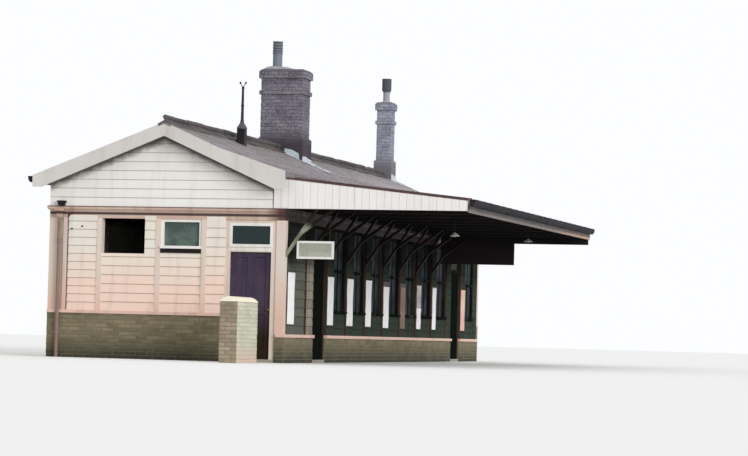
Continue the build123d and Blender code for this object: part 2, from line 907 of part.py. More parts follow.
def banded_pot():
    """A straight pot with raised bands round its upper half."""
    r, band = banded_pot_radius, pot_band_radius
    points = [(r, pot_bed_height)]
    start = banded_pot_height - pot_band_pitch * (pot_band_count - 1) - pot_band_height
    for number in range(pot_band_count):
        low = start + number * pot_band_pitch
        points += [(r, low), (band, low), (band, low + pot_band_height)]
        if number < pot_band_count - 1:
            points.append((r, low + pot_band_height))
    return turned_pot(points, banded_pot_height)


def waisted_pot():
    """A pot with a slender waist under a wider drum."""
    points = [(waist_radius, pot_bed_height), (waist_radius, waist_height), (drum_radius, drum_start),
              (drum_radius, waisted_pot_height)]
    return turned_pot(points, waisted_pot_height)


def chimney_pots():
    """Both clay pots, bedded on their caps."""
    big = Pos(big_chimney_x + big_chimney_length / 2, big_pot_offset, big_chimney_top) * banded_pot()
    small = Pos((small_chimney_x0 + small_chimney_x1) / 2, 0, small_chimney_top) * waisted_pot()
    return [big, small]


def roof_vent():
    """Cast-iron vent on the front slope: square foot, bell cap and a thin rod with a forked tip."""
    x = x_near + vent_from_near_end
    y = -vent_from_ridge
    half = vent_base_size / 2
    z = roof_top(y)
    low_end, high_end = y - half, y + half
    foot = block(x - half, x + half, low_end, high_end, roof_top(low_end), z + vent_base_height)
    under = [(low_end, roof_top(low_end)), (high_end, roof_top(low_end)), (high_end, roof_top(high_end))]
    foot -= prism_along_x(under, x - half, x + half)
    rod_top = vent_bell_height + vent_rod_height
    profile = Polyline((0, 0), (vent_bell_radius, 0), (vent_bell_radius, vent_bell_lip),
                       (vent_rod_radius, vent_bell_height), (vent_rod_tip_radius, rod_top), (0, rod_top), (0, 0))
    vent = foot + Pos(x, y, z + vent_base_height) * revolve(Plane.XZ * make_face(profile), Axis.Z)
    arm = standing(vent_fork_radius, vent_fork_length)
    tip = z + vent_base_height + rod_top - 2 * vent_fork_radius
    for angle in (-vent_fork_angle, vent_fork_angle):
        vent += Pos(x, y, tip) * Rot(angle, 0, 0) * arm
    return vent


def poster_boards():
    """Flat boards for bills on the piers of the platform wall."""
    pieces = []
    half = poster_board_width / 2
    y0, y1 = across(front_faces, board_recess - poster_board_thickness, board_recess)
    for number in platform_poster_bays:
        middle = bay_start(number) + (pier_width / 2 if number else post_width / 2 + half)
        pieces.append(block(middle - half, middle + half, y0, y1, poster_board_bottom,
                            poster_board_bottom + poster_board_height))
    return pieces


def name_board():
    """A blank board with a raised rim on both faces, hung across the platform."""
    y1 = y_front - name_board_from_wall
    y0 = y1 - name_board_length
    x0 = x_near + canopy_panel + bracket_thickness
    x1 = x0 + name_board_thickness
    z0, z1 = name_board_bottom, name_board_bottom + name_board_height
    r = name_board_rim
    board = block(x0, x1, y0, y1, z0, z1)
    board -= block(x0, x0 + name_board_recess, y0 + r, y1 - r, z0 + r, z1 - r)
    board -= block(x1 - name_board_recess, x1, y0 + r, y1 - r, z0 + r, z1 - r)
    return board


def name_board_hangers():
    """A timber bearer under the canopy's end panel and the two rods that carry the name board."""
    x0 = x_near + canopy_panel
    x1 = x0 + bracket_thickness + name_board_thickness
    y1 = y_front - name_board_from_wall
    y0 = y1 - name_board_length
    bearer = block(x0, x1, y0, y1, frieze_top, frieze_top + bracket_thickness)
    x = x1 - name_board_thickness / 2
    rod = standing(hanger_radius, hanger_length)
    hangers = bearer
    for y in (y0 + name_board_rim * 2, y1 - name_board_rim * 2):
        hangers += Pos(x, y, frieze_top - hanger_length) * rod
    return hangers


def canopy_lamp(drop):
    """A lamp on a rod under a joist: an open cone of a shade over a bulb."""
    r = lamp_shade_radius
    h = lamp_shade_height
    t = lamp_shade_wall
    rod = lamp_rod_radius
    crown = -drop - lamp_shade_crown
    rim = -drop - h
    bulb = lamp_bulb_radius
    outside = [(0, 0), (rod, 0), (rod, -drop), (bulb, crown), (r, rim), (r, rim - t)]
    inside = [(r - t, rim - t), (bulb, crown - 2 * t), (bulb, rim), (0, rim - lamp_bulb_drop), (0, 0)]
    return revolve(Plane.XZ * make_face(Polyline(*outside, *inside)), Axis.Z)


def canopy_lamps():
    """The two lamps, each under its joist, counted back from the canopy's far end."""
    lines = joist_lines()[::-1]
    lamps = []
    for number, drop in zip(lamp_joists_from_end, lamp_drops):
        lamps.append(Pos(lines[number], y_front - lamp_from_wall, frieze_top) * canopy_lamp(drop))
    return lamps


def screen():
    """Free-standing masonry screen before the side door, and its rounded coping."""
    x1 = x_near - screen_gap
    x0 = x1 - screen_length
    y0 = y_front + screen_from_corner
    y1 = y0 + screen_thickness
    wall = block(x0, x1, y0, y1, 0, screen_height)
    crest = ((y0 + y1) / 2, screen_height + coping_rise)
    arc = ThreePointArc((y0, screen_height), crest, (y1, screen_height))
    base = Line((y1, screen_height), (y0, screen_height))
    coping = extrude(Plane.YZ.offset(x0) * make_face(arc + base), amount=x1 - x0)
    return wall, coping


def downpipe(x, y_start, z_start, wall_face, side):
    """A rainwater pipe from under a gutter, in a swan neck to the wall and down to the ground."""
    wall_y = wall_face + side * (pipe_radius + pipe_wall_gap)
    start = (x, y_start, z_start)
    first_bend = z_start - pipe_neck_drop
    points = [start, (x, y_start, first_bend), (x, wall_y, first_bend - pipe_neck_length), (x, wall_y, 0)]
    path = FilletPolyline(*points, radius=pipe_bend_radius)
    section = Plane(origin=start, z_dir=(0, 0, -1)) * Circle(pipe_radius)
    return sweep(section, path=path)


def downpipes():
    """Two pipes on the back wall, one past the canopy, and the one in the near gable's recess."""
    back_y = eave_back_y + gutter_width * gutter_sole_share / 2
    back_z = roof_top(eave_back_y) - gutter_wall - gutter_depth
    back_face = y_back + max(sill_projection, moulding_projection)
    posts = (x_near + bay, x_near + bay * (bay_count - 1))
    pipes = [downpipe(x, back_y, back_z, back_face, 1) for x in posts]
    low, high = place_of("recess", near_spans)
    x = x_near - sill_projection - pipe_radius
    y = (low + high) / 2
    pipe = standing(pipe_radius, head_height)
    mouth_x = x_near - moulding_projection - hopper_width / 2
    mouth = Pos(mouth_x, y, head_height + hopper_height) * Rectangle(hopper_width, hopper_width)
    outlet = Pos(x, y, head_height) * Rectangle(2 * pipe_radius, 2 * pipe_radius)
    pipes.append(Pos(x, y, 0) * pipe + loft([outlet, mouth]))
    return pipes


write("plinth", *plinth())
write("plinth_sills", *plinth_sills())
write("thresholds", *thresholds())
write("floor", floor())
write("near_gable_posts", *gable_posts(-1, near_spans, side_sill_top))
write("near_gable_boards", *gable_boards(-1, near_spans))
write("far_gable_posts", *gable_posts(1, far_spans, gable_sill_top))
write("far_gable_boards", *gable_boards(1, far_spans))
write("platform_wall_posts", *side_posts(front_faces))
platform_lower, platform_piers = side_boards(front_faces, platform_door_bays, platform_window_bays)
write("platform_wall_lower_boards", *platform_lower)
write("platform_wall_pier_boards", *platform_piers)
write("platform_wall_upper_boards", upper_boards(front_faces))
write("back_wall_posts", *side_posts(back_faces))
back_lower, back_piers = side_boards(back_faces, back_door_bays, back_window_bays)
write("back_wall_lower_boards", *back_lower)
write("back_wall_pier_boards", *back_piers)
write("back_wall_upper_boards", upper_boards(back_faces))
write("frieze", *frieze())
write("near_pediment", pediment(-1))
write("far_pediment", pediment(1))
write("ceiling", ceiling())
write("roof_front_slope", roof_slope_slab(-1))
write("roof_back_slope", roof_slope_slab(1))
write("ridge_tiles", *ridge_tiles())
write("near_bargeboards", *bargeboards(-1))
write("far_bargeboards", *bargeboards(1))
write("canopy_deck", canopy_deck_slab())
write("canopy_joists", *canopy_joists())
write("canopy_near_panel", canopy_near_panel())
write("canopy_far_panel", canopy_far_panel())
write("canopy_fascia", canopy_fascia())
write("gutters", *gutters())
write("downpipes", *downpipes())
write("canopy_brackets", *canopy_brackets())
write("poster_boards", *poster_boards())
write("name_board", name_board())
write("name_board_hangers", name_board_hangers())
write("canopy_lamps", *canopy_lamps())
write("big_chimney", big_chimney())
write("small_chimney", small_chimney())
write("chimney_pots", *chimney_pots())
write("roof_vent", roof_vent())
frames, panes = windows()
write("window_frames", *frames)
door_leaves, door_frames = side_doors()
write("window_glass", *panes, *side_door_lights())
write("outer_doors", *door_leaves)
write("outer_door_frames", *door_frames)
write("gents_door_frame", *gents_door_frame())
write("gents_door", gents_door())
write("gents_door_knob", *gents_door_knob())
turning_hinges, fixed_hinges = hinge_parts()
write("gents_door_hinges", *turning_hinges)
write("gents_frame_hinges", *fixed_hinges)
screen_wall, screen_coping = screen()
write("screen_wall", screen_wall)
write("screen_coping", screen_coping)
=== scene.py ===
# %% [markdown]
# # A small country station building
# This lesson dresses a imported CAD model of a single-storey timber station: boarded walls between
# painted posts, a slated roof with two brick stacks, and a deep canopy over the platform.
# The CAD solids stay where they are. What a solid leaves plain, such as boards, slates and bricks,
# is built here as real geometry, true to scale, and every surface gets a procedural finish.

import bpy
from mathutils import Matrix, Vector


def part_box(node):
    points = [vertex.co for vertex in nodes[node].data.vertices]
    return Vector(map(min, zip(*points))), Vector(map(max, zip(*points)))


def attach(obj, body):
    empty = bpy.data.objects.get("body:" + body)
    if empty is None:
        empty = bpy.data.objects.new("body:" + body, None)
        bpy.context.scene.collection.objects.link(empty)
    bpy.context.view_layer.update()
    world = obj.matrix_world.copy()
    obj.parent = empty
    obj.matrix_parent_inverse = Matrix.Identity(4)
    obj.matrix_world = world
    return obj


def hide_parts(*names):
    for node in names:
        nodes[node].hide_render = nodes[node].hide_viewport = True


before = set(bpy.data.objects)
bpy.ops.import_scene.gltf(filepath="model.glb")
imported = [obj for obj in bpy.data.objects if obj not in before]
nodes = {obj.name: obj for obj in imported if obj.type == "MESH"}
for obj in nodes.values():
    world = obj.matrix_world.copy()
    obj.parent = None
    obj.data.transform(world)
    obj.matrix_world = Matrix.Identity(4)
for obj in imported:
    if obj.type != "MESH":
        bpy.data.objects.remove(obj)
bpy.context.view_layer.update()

import math
import random

import bpy
from mathutils import Matrix, Vector

scene = bpy.context.scene

# %% [markdown]
# ## The building's own sizes
# The boards, bricks and slates have to meet the CAD solids, so the few sizes they share are
# repeated here once, in metres. X runs along the platform and Y from the platform to the back.
# The long walls are divided into equal bays, and each bay is a boarded pier, then an opening.

# %% Shared sizes
X_NEAR, X_FAR = -8.382, 8.382
Y_FRONT, Y_BACK = -2.41, 2.41
BAY, BAYS = 1.479, 11
CORNER_POST, HALF_POST = 0.18, 0.05
PIER, OPENING = 0.499, 0.88
BOARD_RECESS = 0.025
SIDE_PLINTH, SIDE_SILL = 0.49, 0.55
GABLE_PLINTH, GABLE_SILL = 0.865, 0.925
HEAD, FRIEZE = 2.72, 2.95
RIDGE = 4.565
BACK_SLOPE, FRONT_SLOPE, EAVES_SLOPE, BREAK = 0.391, 0.44, 0.325, 1.1
ROOF_DROP, VERGE = 0.097, 0.265
EAVE_FRONT, EAVE_BACK = -2.45, 2.68
CANOPY_DEPTH, CANOPY_FALL, DECK = 3.56, 0.370, 0.035
CANOPY_EDGE, CANOPY_END = -5.97, 4.098
JAMB_NEAR, JAMB_FAR = -2.15, -1.28
TRANSOM_LOW, TRANSOM_HIGH = 2.136, 2.206
DOOR_BAYS, BACK_DOORS = (1, 9), (6,)
WINDOW_BAYS, BACK_WINDOWS = (2, 3, 4, 5, 6, 7, 8, 10), (1, 3, 8, 10)
print("bays", BAYS, "of", BAY, "m, doors in", DOOR_BAYS, "and windows in", WINDOW_BAYS)

# %% [markdown]
# ## Heights and places on the building
# The front slope of the roof has a break, below which it is flatter, as on many old roofs that
# reach out to carry a canopy. Four small functions give the height of the slates, the underside
# of the canopy's deck, the clear width of a bay, and its opening.

# %% Heights and places
def roof_top(y):
    """Height of the slated surface at a place across the roof."""
    if y >= 0:
        return RIDGE - BACK_SLOPE * y
    if y >= -BREAK:
        return RIDGE + FRONT_SLOPE * y
    return RIDGE - FRONT_SLOPE * BREAK + EAVES_SLOPE * (y + BREAK)


def canopy_under(y):
    """Height of the canopy deck's underside."""
    wall = roof_top(EAVE_FRONT) - ROOF_DROP - DECK
    return wall - CANOPY_FALL * (EAVE_FRONT - y) / CANOPY_DEPTH


def bay_clear(number):
    """Start and end of a bay between its posts."""
    start = X_NEAR + (number * BAY + HALF_POST if number else CORNER_POST)
    end = X_NEAR + (number + 1) * BAY - HALF_POST if number < BAYS - 1 else X_FAR - CORNER_POST
    return start, end


def opening(number):
    """Start and end of a bay's window or door opening."""
    start = bay_clear(number)[0] + PIER
    return start, start + OPENING


print("canopy height at the wall and its edge", [round(canopy_under(y), 3) for y in (Y_FRONT, CANOPY_EDGE)])

# %% [markdown]
# ## Shader helpers: colours and patterns
# A finish on an old building is never one colour. Each one here mixes two or three close colours
# with noise, adds dirt or streaks where rain leaves them, and drives roughness and bump from the
# same patterns. All patterns read Object coordinates, so they stay put from every side.

# %% Helpers for colours and patterns
def tint(code):
    """Linear colour from a web colour code."""
    parts = [int(code[i:i + 2], 16) / 255 for i in (1, 3, 5)]
    return tuple([c / 12.92 if c <= 0.04045 else ((c + 0.055) / 1.055) ** 2.4 for c in parts] + [1])


def feed(tree, socket, value):
    """Link a socket's value if it comes from a node, or else set it."""
    if isinstance(value, bpy.types.NodeSocket):
        tree.links.new(value, socket)
    else:
        socket.default_value = value


def new_finish(name):
    """An empty Principled material, with its Object coordinates."""
    material = bpy.data.materials.new(name)
    material.use_nodes = True
    tree = material.node_tree
    place = tree.nodes.new("ShaderNodeTexCoord").outputs["Object"]
    return material, tree, tree.nodes["Principled BSDF"], place


def noise(tree, place, scale, stretch=(1, 1, 1), detail=5.0, rough=0.55):
    """A noise pattern between 0 and 1, stretched along the axes."""
    mapping = tree.nodes.new("ShaderNodeMapping")
    mapping.inputs["Scale"].default_value = stretch
    tree.links.new(place, mapping.inputs["Vector"])
    made = tree.nodes.new("ShaderNodeTexNoise")
    made.inputs["Scale"].default_value = scale
    made.inputs["Detail"].default_value = detail
    made.inputs["Roughness"].default_value = rough
    tree.links.new(mapping.outputs["Vector"], made.inputs["Vector"])
    return made.outputs["Fac"]


def spread(tree, value, low, high, start=0.0, end=1.0):
    """Stretch a band of a pattern to a new range, and clip it there."""
    made = tree.nodes.new("ShaderNodeMapRange")
    for label, number in (("From Min", low), ("From Max", high), ("To Min", start), ("To Max", end)):
        made.inputs[label].default_value = number
    tree.links.new(value, made.inputs["Value"])
    return made.outputs["Result"]


print("white is", tint("#ffffff"))

# %% [markdown]
# ## Shader helpers: mixing and bump
# These mix colours by a pattern, do sums on patterns, and turn a pattern into bump. Bump on weathered
# paint, brick or iron is a matter of millimetres, so its distance is always given in metres.

# %% Helpers for mixing and bump
def blend(tree, factor, first, second):
    """Mix two colours by a pattern."""
    made = tree.nodes.new("ShaderNodeMix")
    made.data_type = "RGBA"
    feed(tree, made.inputs[0], factor)
    feed(tree, made.inputs[6], first)
    feed(tree, made.inputs[7], second)
    return made.outputs[2]


def calc(tree, operation, first, second=None):
    """A math node on sockets or numbers."""
    made = tree.nodes.new("ShaderNodeMath")
    made.operation = operation
    feed(tree, made.inputs[0], first)
    if second is not None:
        feed(tree, made.inputs[1], second)
    return made.outputs[0]


def stain(tree, colour, pattern, share, shade):
    """Cover a colour by another one where a pattern is high, up to a share."""
    return blend(tree, calc(tree, "MULTIPLY", pattern, share), colour, tint(shade))


def relief(tree, surface, height, strength, distance):
    """Bump on a surface from a height pattern."""
    made = tree.nodes.new("ShaderNodeBump")
    made.inputs["Strength"].default_value = strength
    made.inputs["Distance"].default_value = distance
    tree.links.new(height, made.inputs["Height"])
    tree.links.new(made.outputs["Normal"], surface.inputs["Normal"])


print("mixing helpers ready")

# %% [markdown]
# ## Shader helpers: places on the building
# Paint ages differently over a building, dirtier near the ground. A zone is a ramp along one axis,
# for a finish that changes from place to place, and some zones paint light and shade, darker under
# the canopy. Geometry Nodes stores a tone and a rise on each board, slate or brick, and the finishes read
# them back.

# %% Helpers for places on the building
def axis_of(tree, place, axis):
    """One of the three Object coordinates."""
    parted = tree.nodes.new("ShaderNodeSeparateXYZ")
    tree.links.new(place, parted.inputs[0])
    return parted.outputs[axis]


def zone(tree, place, axis, start, end):
    """A ramp along one axis of the building: 0 at the start, 1 at the end, and flat past them."""
    return spread(tree, axis_of(tree, place, axis), start, end)


def in_zones(tree, place, colour, zones):
    """Change a colour zone by zone. Each is an axis, where it starts, where it is full, and its colour."""
    for axis, begin, full, shade in zones:
        colour = blend(tree, zone(tree, place, axis, begin, full), colour, tint(shade))
    return colour


def stored(tree, label):
    """A value stored on each board, brick or slate: its tone, or the height up it."""
    made = tree.nodes.new("ShaderNodeAttribute")
    made.attribute_name = label
    return made.outputs["Fac"]


print("place helpers ready")

# %% [markdown]
# ## Painted timber
# Oil paint on boards chalks, picks up grime along the lower edges and lets the grain show. The
# grain is a noise drawn out along the board, so horizontal boards, upright boards and posts each
# need their own stretch. Rain streaks are the same noise drawn out downwards, and a slow patchy
# noise warms or greys the whole wall. A low shine keeps dark paint dark at a grazing view.

# %% The painted timber finish
def painted_timber(name, main, second, grime, grain, wear=0.45, dirt=0.5, rough=0.55, uneven=0.0,
                   zones=(), lap_shade=0.0, shine=0.4):
    """Paint on timber: patches of a second colour, rain streaks, grime and a fine grain. The lap share
    is how much painted shade lies at the top of each board, just under the next one's edge."""
    material, tree, surface, place = new_finish(name)
    patch = spread(tree, noise(tree, place, 0.9, detail=3), 0.42, 0.66)
    colour = blend(tree, calc(tree, "MULTIPLY", patch, wear), tint(main), tint(second))
    colour = in_zones(tree, place, colour, zones)
    streak = spread(tree, noise(tree, place, 5.0, (1, 1, 0.12)), 0.52, 0.78)
    colour = stain(tree, colour, streak, dirt, grime)
    speck = spread(tree, noise(tree, place, 42.0, detail=6), 0.60, 0.72)
    colour = stain(tree, colour, speck, dirt * 0.7, grime)
    if uneven:
        colour = blend(tree, spread(tree, stored(tree, "tone"), 0.0, 1.0, 0.0, uneven), colour, tint(second))
    # Painted shade at the top of each board, under the next board's edge
    if lap_shade:
        colour = blend(tree, spread(tree, stored(tree, "rise"), 0.88, 0.97, 0.0, lap_shade), colour, tint(grime))
    tree.links.new(colour, surface.inputs["Base Color"])
    surface.inputs["Specular IOR Level"].default_value = shine
    fibres = noise(tree, place, 30.0, grain, detail=6, rough=0.7)
    tree.links.new(spread(tree, fibres, 0.3, 0.7, rough - 0.1, rough + 0.15), surface.inputs["Roughness"])
    relief(tree, surface, fibres, 0.35, 0.004)
    return material


ALONG_WALL, ALONG_GABLE, UPRIGHT = (0.06, 1, 1), (1, 0.06, 1), (1, 1, 0.06)
print("grain runs along the wall, along the gable or upright")

# %% [markdown]
# ## Painted shade under mouldings and bargeboards
# A dark line of painted shade lies under a moulding, and a band of painted shadow lies under the
# bargeboards. Both are laid over a finish's own colour. The painted shadow follows
# the lower edges of the two bargeboards and is narrower on the platform side.

# %% Painted shade over a finish
def paint_over(material, pattern, shade):
    """Cover a finish's own colour where a pattern says so. The pattern gets the tree and the place."""
    tree = material.node_tree
    base = tree.nodes["Principled BSDF"].inputs["Base Color"]
    own = base.links[0].from_socket
    place = next(n for n in tree.nodes if n.bl_idname == "ShaderNodeTexCoord").outputs["Object"]
    tree.links.new(blend(tree, pattern(tree, place), own, tint(shade)), base)


def add_shade_line(material, level, half, shade, share=0.8):
    """A dark line of painted shade at a height, with soft edges."""
    def line_at(tree, place):
        away = calc(tree, "ABSOLUTE", calc(tree, "SUBTRACT", axis_of(tree, place, "Z"), level))
        return calc(tree, "MULTIPLY", spread(tree, away, half, half * 0.5), share)

    paint_over(material, line_at, shade)


# The lower edge of each bargeboard: its height at the ridge, and how steeply it falls
BACK_EDGE, BACK_FALL = 4.372, 0.404
FRONT_EDGE, FRONT_FALL = 4.283, 0.445


def add_verge_shadow(material, front_narrows=1.6, ragged_by=0.16, full=0.13, none=0.27):
    """Painted shadow on the pediment under both bargeboards, with a ragged lower edge."""
    def barge_shadow(tree, place):
        y, z = axis_of(tree, place, "Y"), axis_of(tree, place, "Z")
        back_edge = calc(tree, "SUBTRACT", BACK_EDGE, calc(tree, "MULTIPLY", y, BACK_FALL))
        front_edge = calc(tree, "ADD", FRONT_EDGE, calc(tree, "MULTIPLY", y, FRONT_FALL))
        under_front = calc(tree, "MULTIPLY", calc(tree, "SUBTRACT", front_edge, z), front_narrows)
        below = calc(tree, "MINIMUM", calc(tree, "SUBTRACT", back_edge, z), under_front)
        rough_edge = calc(tree, "MULTIPLY", noise(tree, place, 7.0, detail=6, rough=0.7), ragged_by)
        return calc(tree, "MULTIPLY", spread(tree, calc(tree, "ADD", below, rough_edge), none, full), 0.85)

    paint_over(material, barge_shadow, "#3c322c")


print("dirt helpers ready")

# %% [markdown]
# ## Paints of the light side
# The gables and the back wall are cream boards between buff posts, warmer and dirtier near the
# ground, and the pediment is off-white. Where one CAD solid holds timber of two colours, such as
# the door frame with its white transom bar, a zone with a sharp edge parts them.

# %% Light paints
# After the name: paint, second paint, grime, grain, share of the second paint, share of dirt, roughness
BUFF, BUFF_WORN, BUFF_GRIME = "#dccabd", "#d9d1c7", "#94796b"
SHARP = 0.001
buff_paint = painted_timber("buff oil paint", BUFF, BUFF_WORN, BUFF_GRIME, UPRIGHT, 0.7, 0.4,
                            zones=(("Z", 1.7, 0.9, "#e0bfae"),))
transom_zones = (("Z", TRANSOM_LOW - 2 * SHARP, TRANSOM_LOW + 2 * SHARP, "#e8e6e0"),
                 ("Z", TRANSOM_HIGH - 2 * SHARP, TRANSOM_HIGH + 2 * SHARP, BUFF),
                 ("Y", JAMB_NEAR + SHARP, JAMB_NEAR - SHARP, BUFF),
                 ("Y", JAMB_FAR - SHARP, JAMB_FAR + SHARP, BUFF))
door_frame_paint = painted_timber("buff paint, white on the bar over the door", BUFF, BUFF_WORN, BUFF_GRIME,
                                  UPRIGHT, 0.7, 0.4, zones=transom_zones)
# The frieze darkens towards the platform corner and is near-black along the platform, as painted shade
frieze_paint = painted_timber("buff paint on the frieze, maroon along the platform", "#c6a99b", "#cfc0b1",
                              "#6f5548", ALONG_GABLE, 0.6, 0.55,
                              zones=(("Y", -2.0, -2.3, "#5a3430"), ("Y", -2.395, -2.405, "#27181b")))
cream_boards = painted_timber("cream paint on lapped boards", "#e8e5db", "#e6dace", "#8f7d6e", ALONG_GABLE,
                              0.7, 0.3, uneven=0.3, zones=(("Z", 2.2, 1.4, "#f2d2c1"),), lap_shade=0.75)
pediment_paint = painted_timber("off-white paint on gable boards", "#eeece8", "#e3deda", "#968d84",
                                ALONG_GABLE, 0.45, 0.22, uneven=0.25, lap_shade=0.75)
canopy_boards = painted_timber("off-white paint on upright boards", "#f0eeed", "#e9e1de", "#9d938d", UPRIGHT,
                               0.45, 0.25, uneven=0.25)
barge_paint = painted_timber("lilac-white paint on bargeboards", "#d4d0cd", "#c4bebb", "#8d8480", ALONG_GABLE,
                             0.4, 0.3)
GLOSS_WHITE = ("#eceae6", "#dedad4", "#8f8a82", UPRIGHT, 0.4, 0.3, 0.4)
white_paint = painted_timber("white gloss on small timber", *GLOSS_WHITE)
sash_paint = painted_timber("window paint, white on the gables and dark along the platform", *GLOSS_WHITE,
                            zones=(("Y", -2.2, -2.25, "#141a18"),), shine=0.0)
# Painted shade: a dark line under the moulding, one under the pediment's lowest board, and a band under the
# bargeboards
MOULDING_LINE = 2.812
add_shade_line(frieze_paint, MOULDING_LINE, 0.036, "#2a1319", 0.93)
add_shade_line(frieze_paint, FRIEZE + 0.002, 0.030, "#2c1a18")
add_verge_shadow(pediment_paint)
print("light paints", len(bpy.data.materials))

# %% [markdown]
# ## Paints of the platform side
# Under the canopy the paint is dark brown and green-black. The boards carry painted light in the
# first bay, where daylight reaches them, and painted shade towards the soffit.

# %% Dark paints
fascia_paint = painted_timber("faded buff paint on the fascia", "#796c65", "#675e60", "#453b37", ALONG_WALL,
                              0.7, 0.7, zones=(("X", -1.0, 3.6, "#b8977c"),))
# Painted shadow of the gutter along the top of the fascia
add_shade_line(fascia_paint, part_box("canopy_fascia")[1].z - 0.155, 0.07, "#2b272b", 0.9)
# From 1.7 m up the posts and frames get painted shade under the canopy
brown_paint = painted_timber("dark brown paint of the platform wall", "#43362e", "#54453a", "#201915",
                             UPRIGHT, 0.6, 0.6, uneven=0.3, zones=(("Z", 1.7, 2.2, "#241c18"),), shine=0.0)
# Painted light on the lower part of the first strut near the wall; above the fork and away from the wall the
# brackets stay dark
bracket_light_and_shade = (("X", -7.9, -8.1, "#8f8f7e"), ("Z", 2.56, 2.70, "#211c1a"), ("Y", -2.84, -2.94, "#1a1715"))
bracket_paint = painted_timber("dark bracket paint, with painted light on the first strut", "#211c1a", "#29221f",
                               "#120e0d", UPRIGHT, 0.6, 0.6, zones=bracket_light_and_shade, shine=0.05)
# Painted light on the boards at the near end of the wall, and painted shade from 1.75 m up
wall_light_and_shade = (("X", -6.33, -6.37, "#9d9588"), ("X", -6.88, -6.92, "#686c63"), ("Z", 1.75, 2.1, "#252b28"))
dark_boards = painted_timber("sooty boards of the platform wall", "#3b453f", "#47493f", "#1a1d1b", ALONG_WALL,
                             0.6, 0.6, uneven=0.3, lap_shade=0.6, shine=0.0, zones=wall_light_and_shade)
# Near-black timber under the canopy is painted shade
painted_shade_timber = painted_timber("near-black timber under the canopy, painted shade", "#1d191a", "#272122", "#100e0e", ALONG_GABLE,
                              0.5, 0.5, 0.8, uneven=0.3, shine=0.2)
# The side door is darker from 1.2 m down, painted shade behind the screen wall
door_paint = painted_timber("door paint, dark plum at the side and green-black on the platform", "#514456",
                            "#3a3442", "#17131a", UPRIGHT, 0.8, 0.5, 0.42, shine=0.0,
                            zones=(("Z", 1.2, 0.5, "#30261f"), ("Y", -2.2, -2.3, "#141a16")))
bill_board_paint = painted_timber("dark maroon paint on bill boards", "#43222c", "#33262a", "#151112",
                                  UPRIGHT, 0.6, 0.4)
print("painted timber finishes", len(bpy.data.materials))

# %% [markdown]
# ## Slate, brick, clay and masonry
# Slates and bricks differ piece by piece. Geometry Nodes stores a random tone on each piece, and
# the finish turns it into a choice between two colours. Lichen on slates and soot on bricks come
# from slow noise over the whole surface, so they run across many pieces as the real ones do.

# %% The mineral finish
def mineral(name, main, second, stained_by, grain_scale, bump, rough=0.85, stained=0.5, coarse=1.2,
            band=None, mottle=None, fade=None):
    """Stone, slate, brick or mortar: a tone for each piece, grain, and stains across the pieces. Band is
    a lower and an upper height and the colour at the lower one, mottle a share and two colours of spots,
    and fade an X where it starts and is full, the colour there and its share."""
    material, tree, surface, place = new_finish(name)
    grain = noise(tree, place, grain_scale, detail=8, rough=0.7)
    tone = calc(tree, "MULTIPLY", stored(tree, "tone"), 0.65)
    mixed = calc(tree, "ADD", tone, calc(tree, "MULTIPLY", grain, 0.5))
    colour = blend(tree, spread(tree, mixed, 0.2, 0.85), tint(main), tint(second))
    patches = spread(tree, noise(tree, place, coarse, detail=7, rough=0.65), 0.45, 0.68)
    colour = stain(tree, colour, patches, stained, stained_by)
    if mottle:
        share, dark, pale = mottle
        spots = noise(tree, place, 21.0, detail=3, rough=0.75)
        colour = stain(tree, colour, spread(tree, spots, 0.48, 0.36), share, dark)
        colour = stain(tree, colour, spread(tree, spots, 0.54, 0.66), share, pale)
    if fade:
        start, full, shade, share = fade
        colour = stain(tree, colour, zone(tree, place, "X", start, full), share, shade)
    if band:
        low, high, shade = band
        uneven = calc(tree, "MULTIPLY", patches, (high - low) * 0.4)
        height = calc(tree, "ADD", axis_of(tree, place, "Z"), uneven)
        colour = blend(tree, spread(tree, height, high, low), colour, tint(shade))
    tree.links.new(colour, surface.inputs["Base Color"])
    roughness = spread(tree, grain, 0.3, 0.7, rough - 0.12, min(rough + 0.1, 1.0))
    tree.links.new(roughness, surface.inputs["Roughness"])
    relief(tree, surface, grain, 0.6, bump)
    return material


print("mineral finish ready")

# %% [markdown]
# ## Minerals from the ridge to the ground
# The slates are mottled grey, paler to the far end. The big stack is dark stock brick, sooty at its
# foot, and the small one is bluer. The plinth is olive with a dark splash band, the screen is
# brown on its ends and limewashed on its faces, and its coping is cream cement.

# %% Slate, brick and mortar
# After the name: two colours and a stain, grain scale, bump, roughness, share and scale of the stain
slate_finish = mineral("weathered slate", "#726973", "#a9a0a8", "#8b8677", 18, 0.004, 0.72, 0.6, 1.6,
                       band=(4.62, 4.1, "#77726a"), mottle=(0.5, "#565058", "#b0aea6"),
                       fade=(1.0, 4.5, "#bdb5bc", 0.5))
ridge_finish = mineral("dark ridge tile", "#3f3b40", "#5a5358", "#5b5846", 22, 0.006, 0.85, 0.5, 2.2)
big_stack_brick = mineral("dark stock brick", "#66606e", "#847f8c", "#4c4854", 26, 0.006, 0.9, 0.6, 2.4,
                          band=(4.78, 5.1, "#3c363e"), mottle=(0.6, "#3f3a46", "#9b9d98"))
big_stack_mortar = mineral("sooty mortar", "#5f5965", "#716a76", "#3f3a44", 30, 0.004, 0.95, 0.5, 2.0,
                           band=(4.75, 5.15, "#453f48"))
small_stack_brick = mineral("blue-grey stock brick", "#7e7f91", "#9fa0b0", "#67677a", 26, 0.006, 0.9, 0.6,
                            2.4, band=(4.8, 5.2, "#6d6870"), mottle=(0.5, "#565666", "#b0b2b4"))
small_stack_mortar = mineral("grey mortar", "#747384", "#858494", "#54535f", 30, 0.004, 0.95, 0.5, 2.0)
plinth_brick = mineral("olive weathered brick", "#6f674f", "#8b8067", "#45452f", 20, 0.008, 0.92, 0.65, 1.6,
                       band=(0.08, 0.46, "#37372a"))
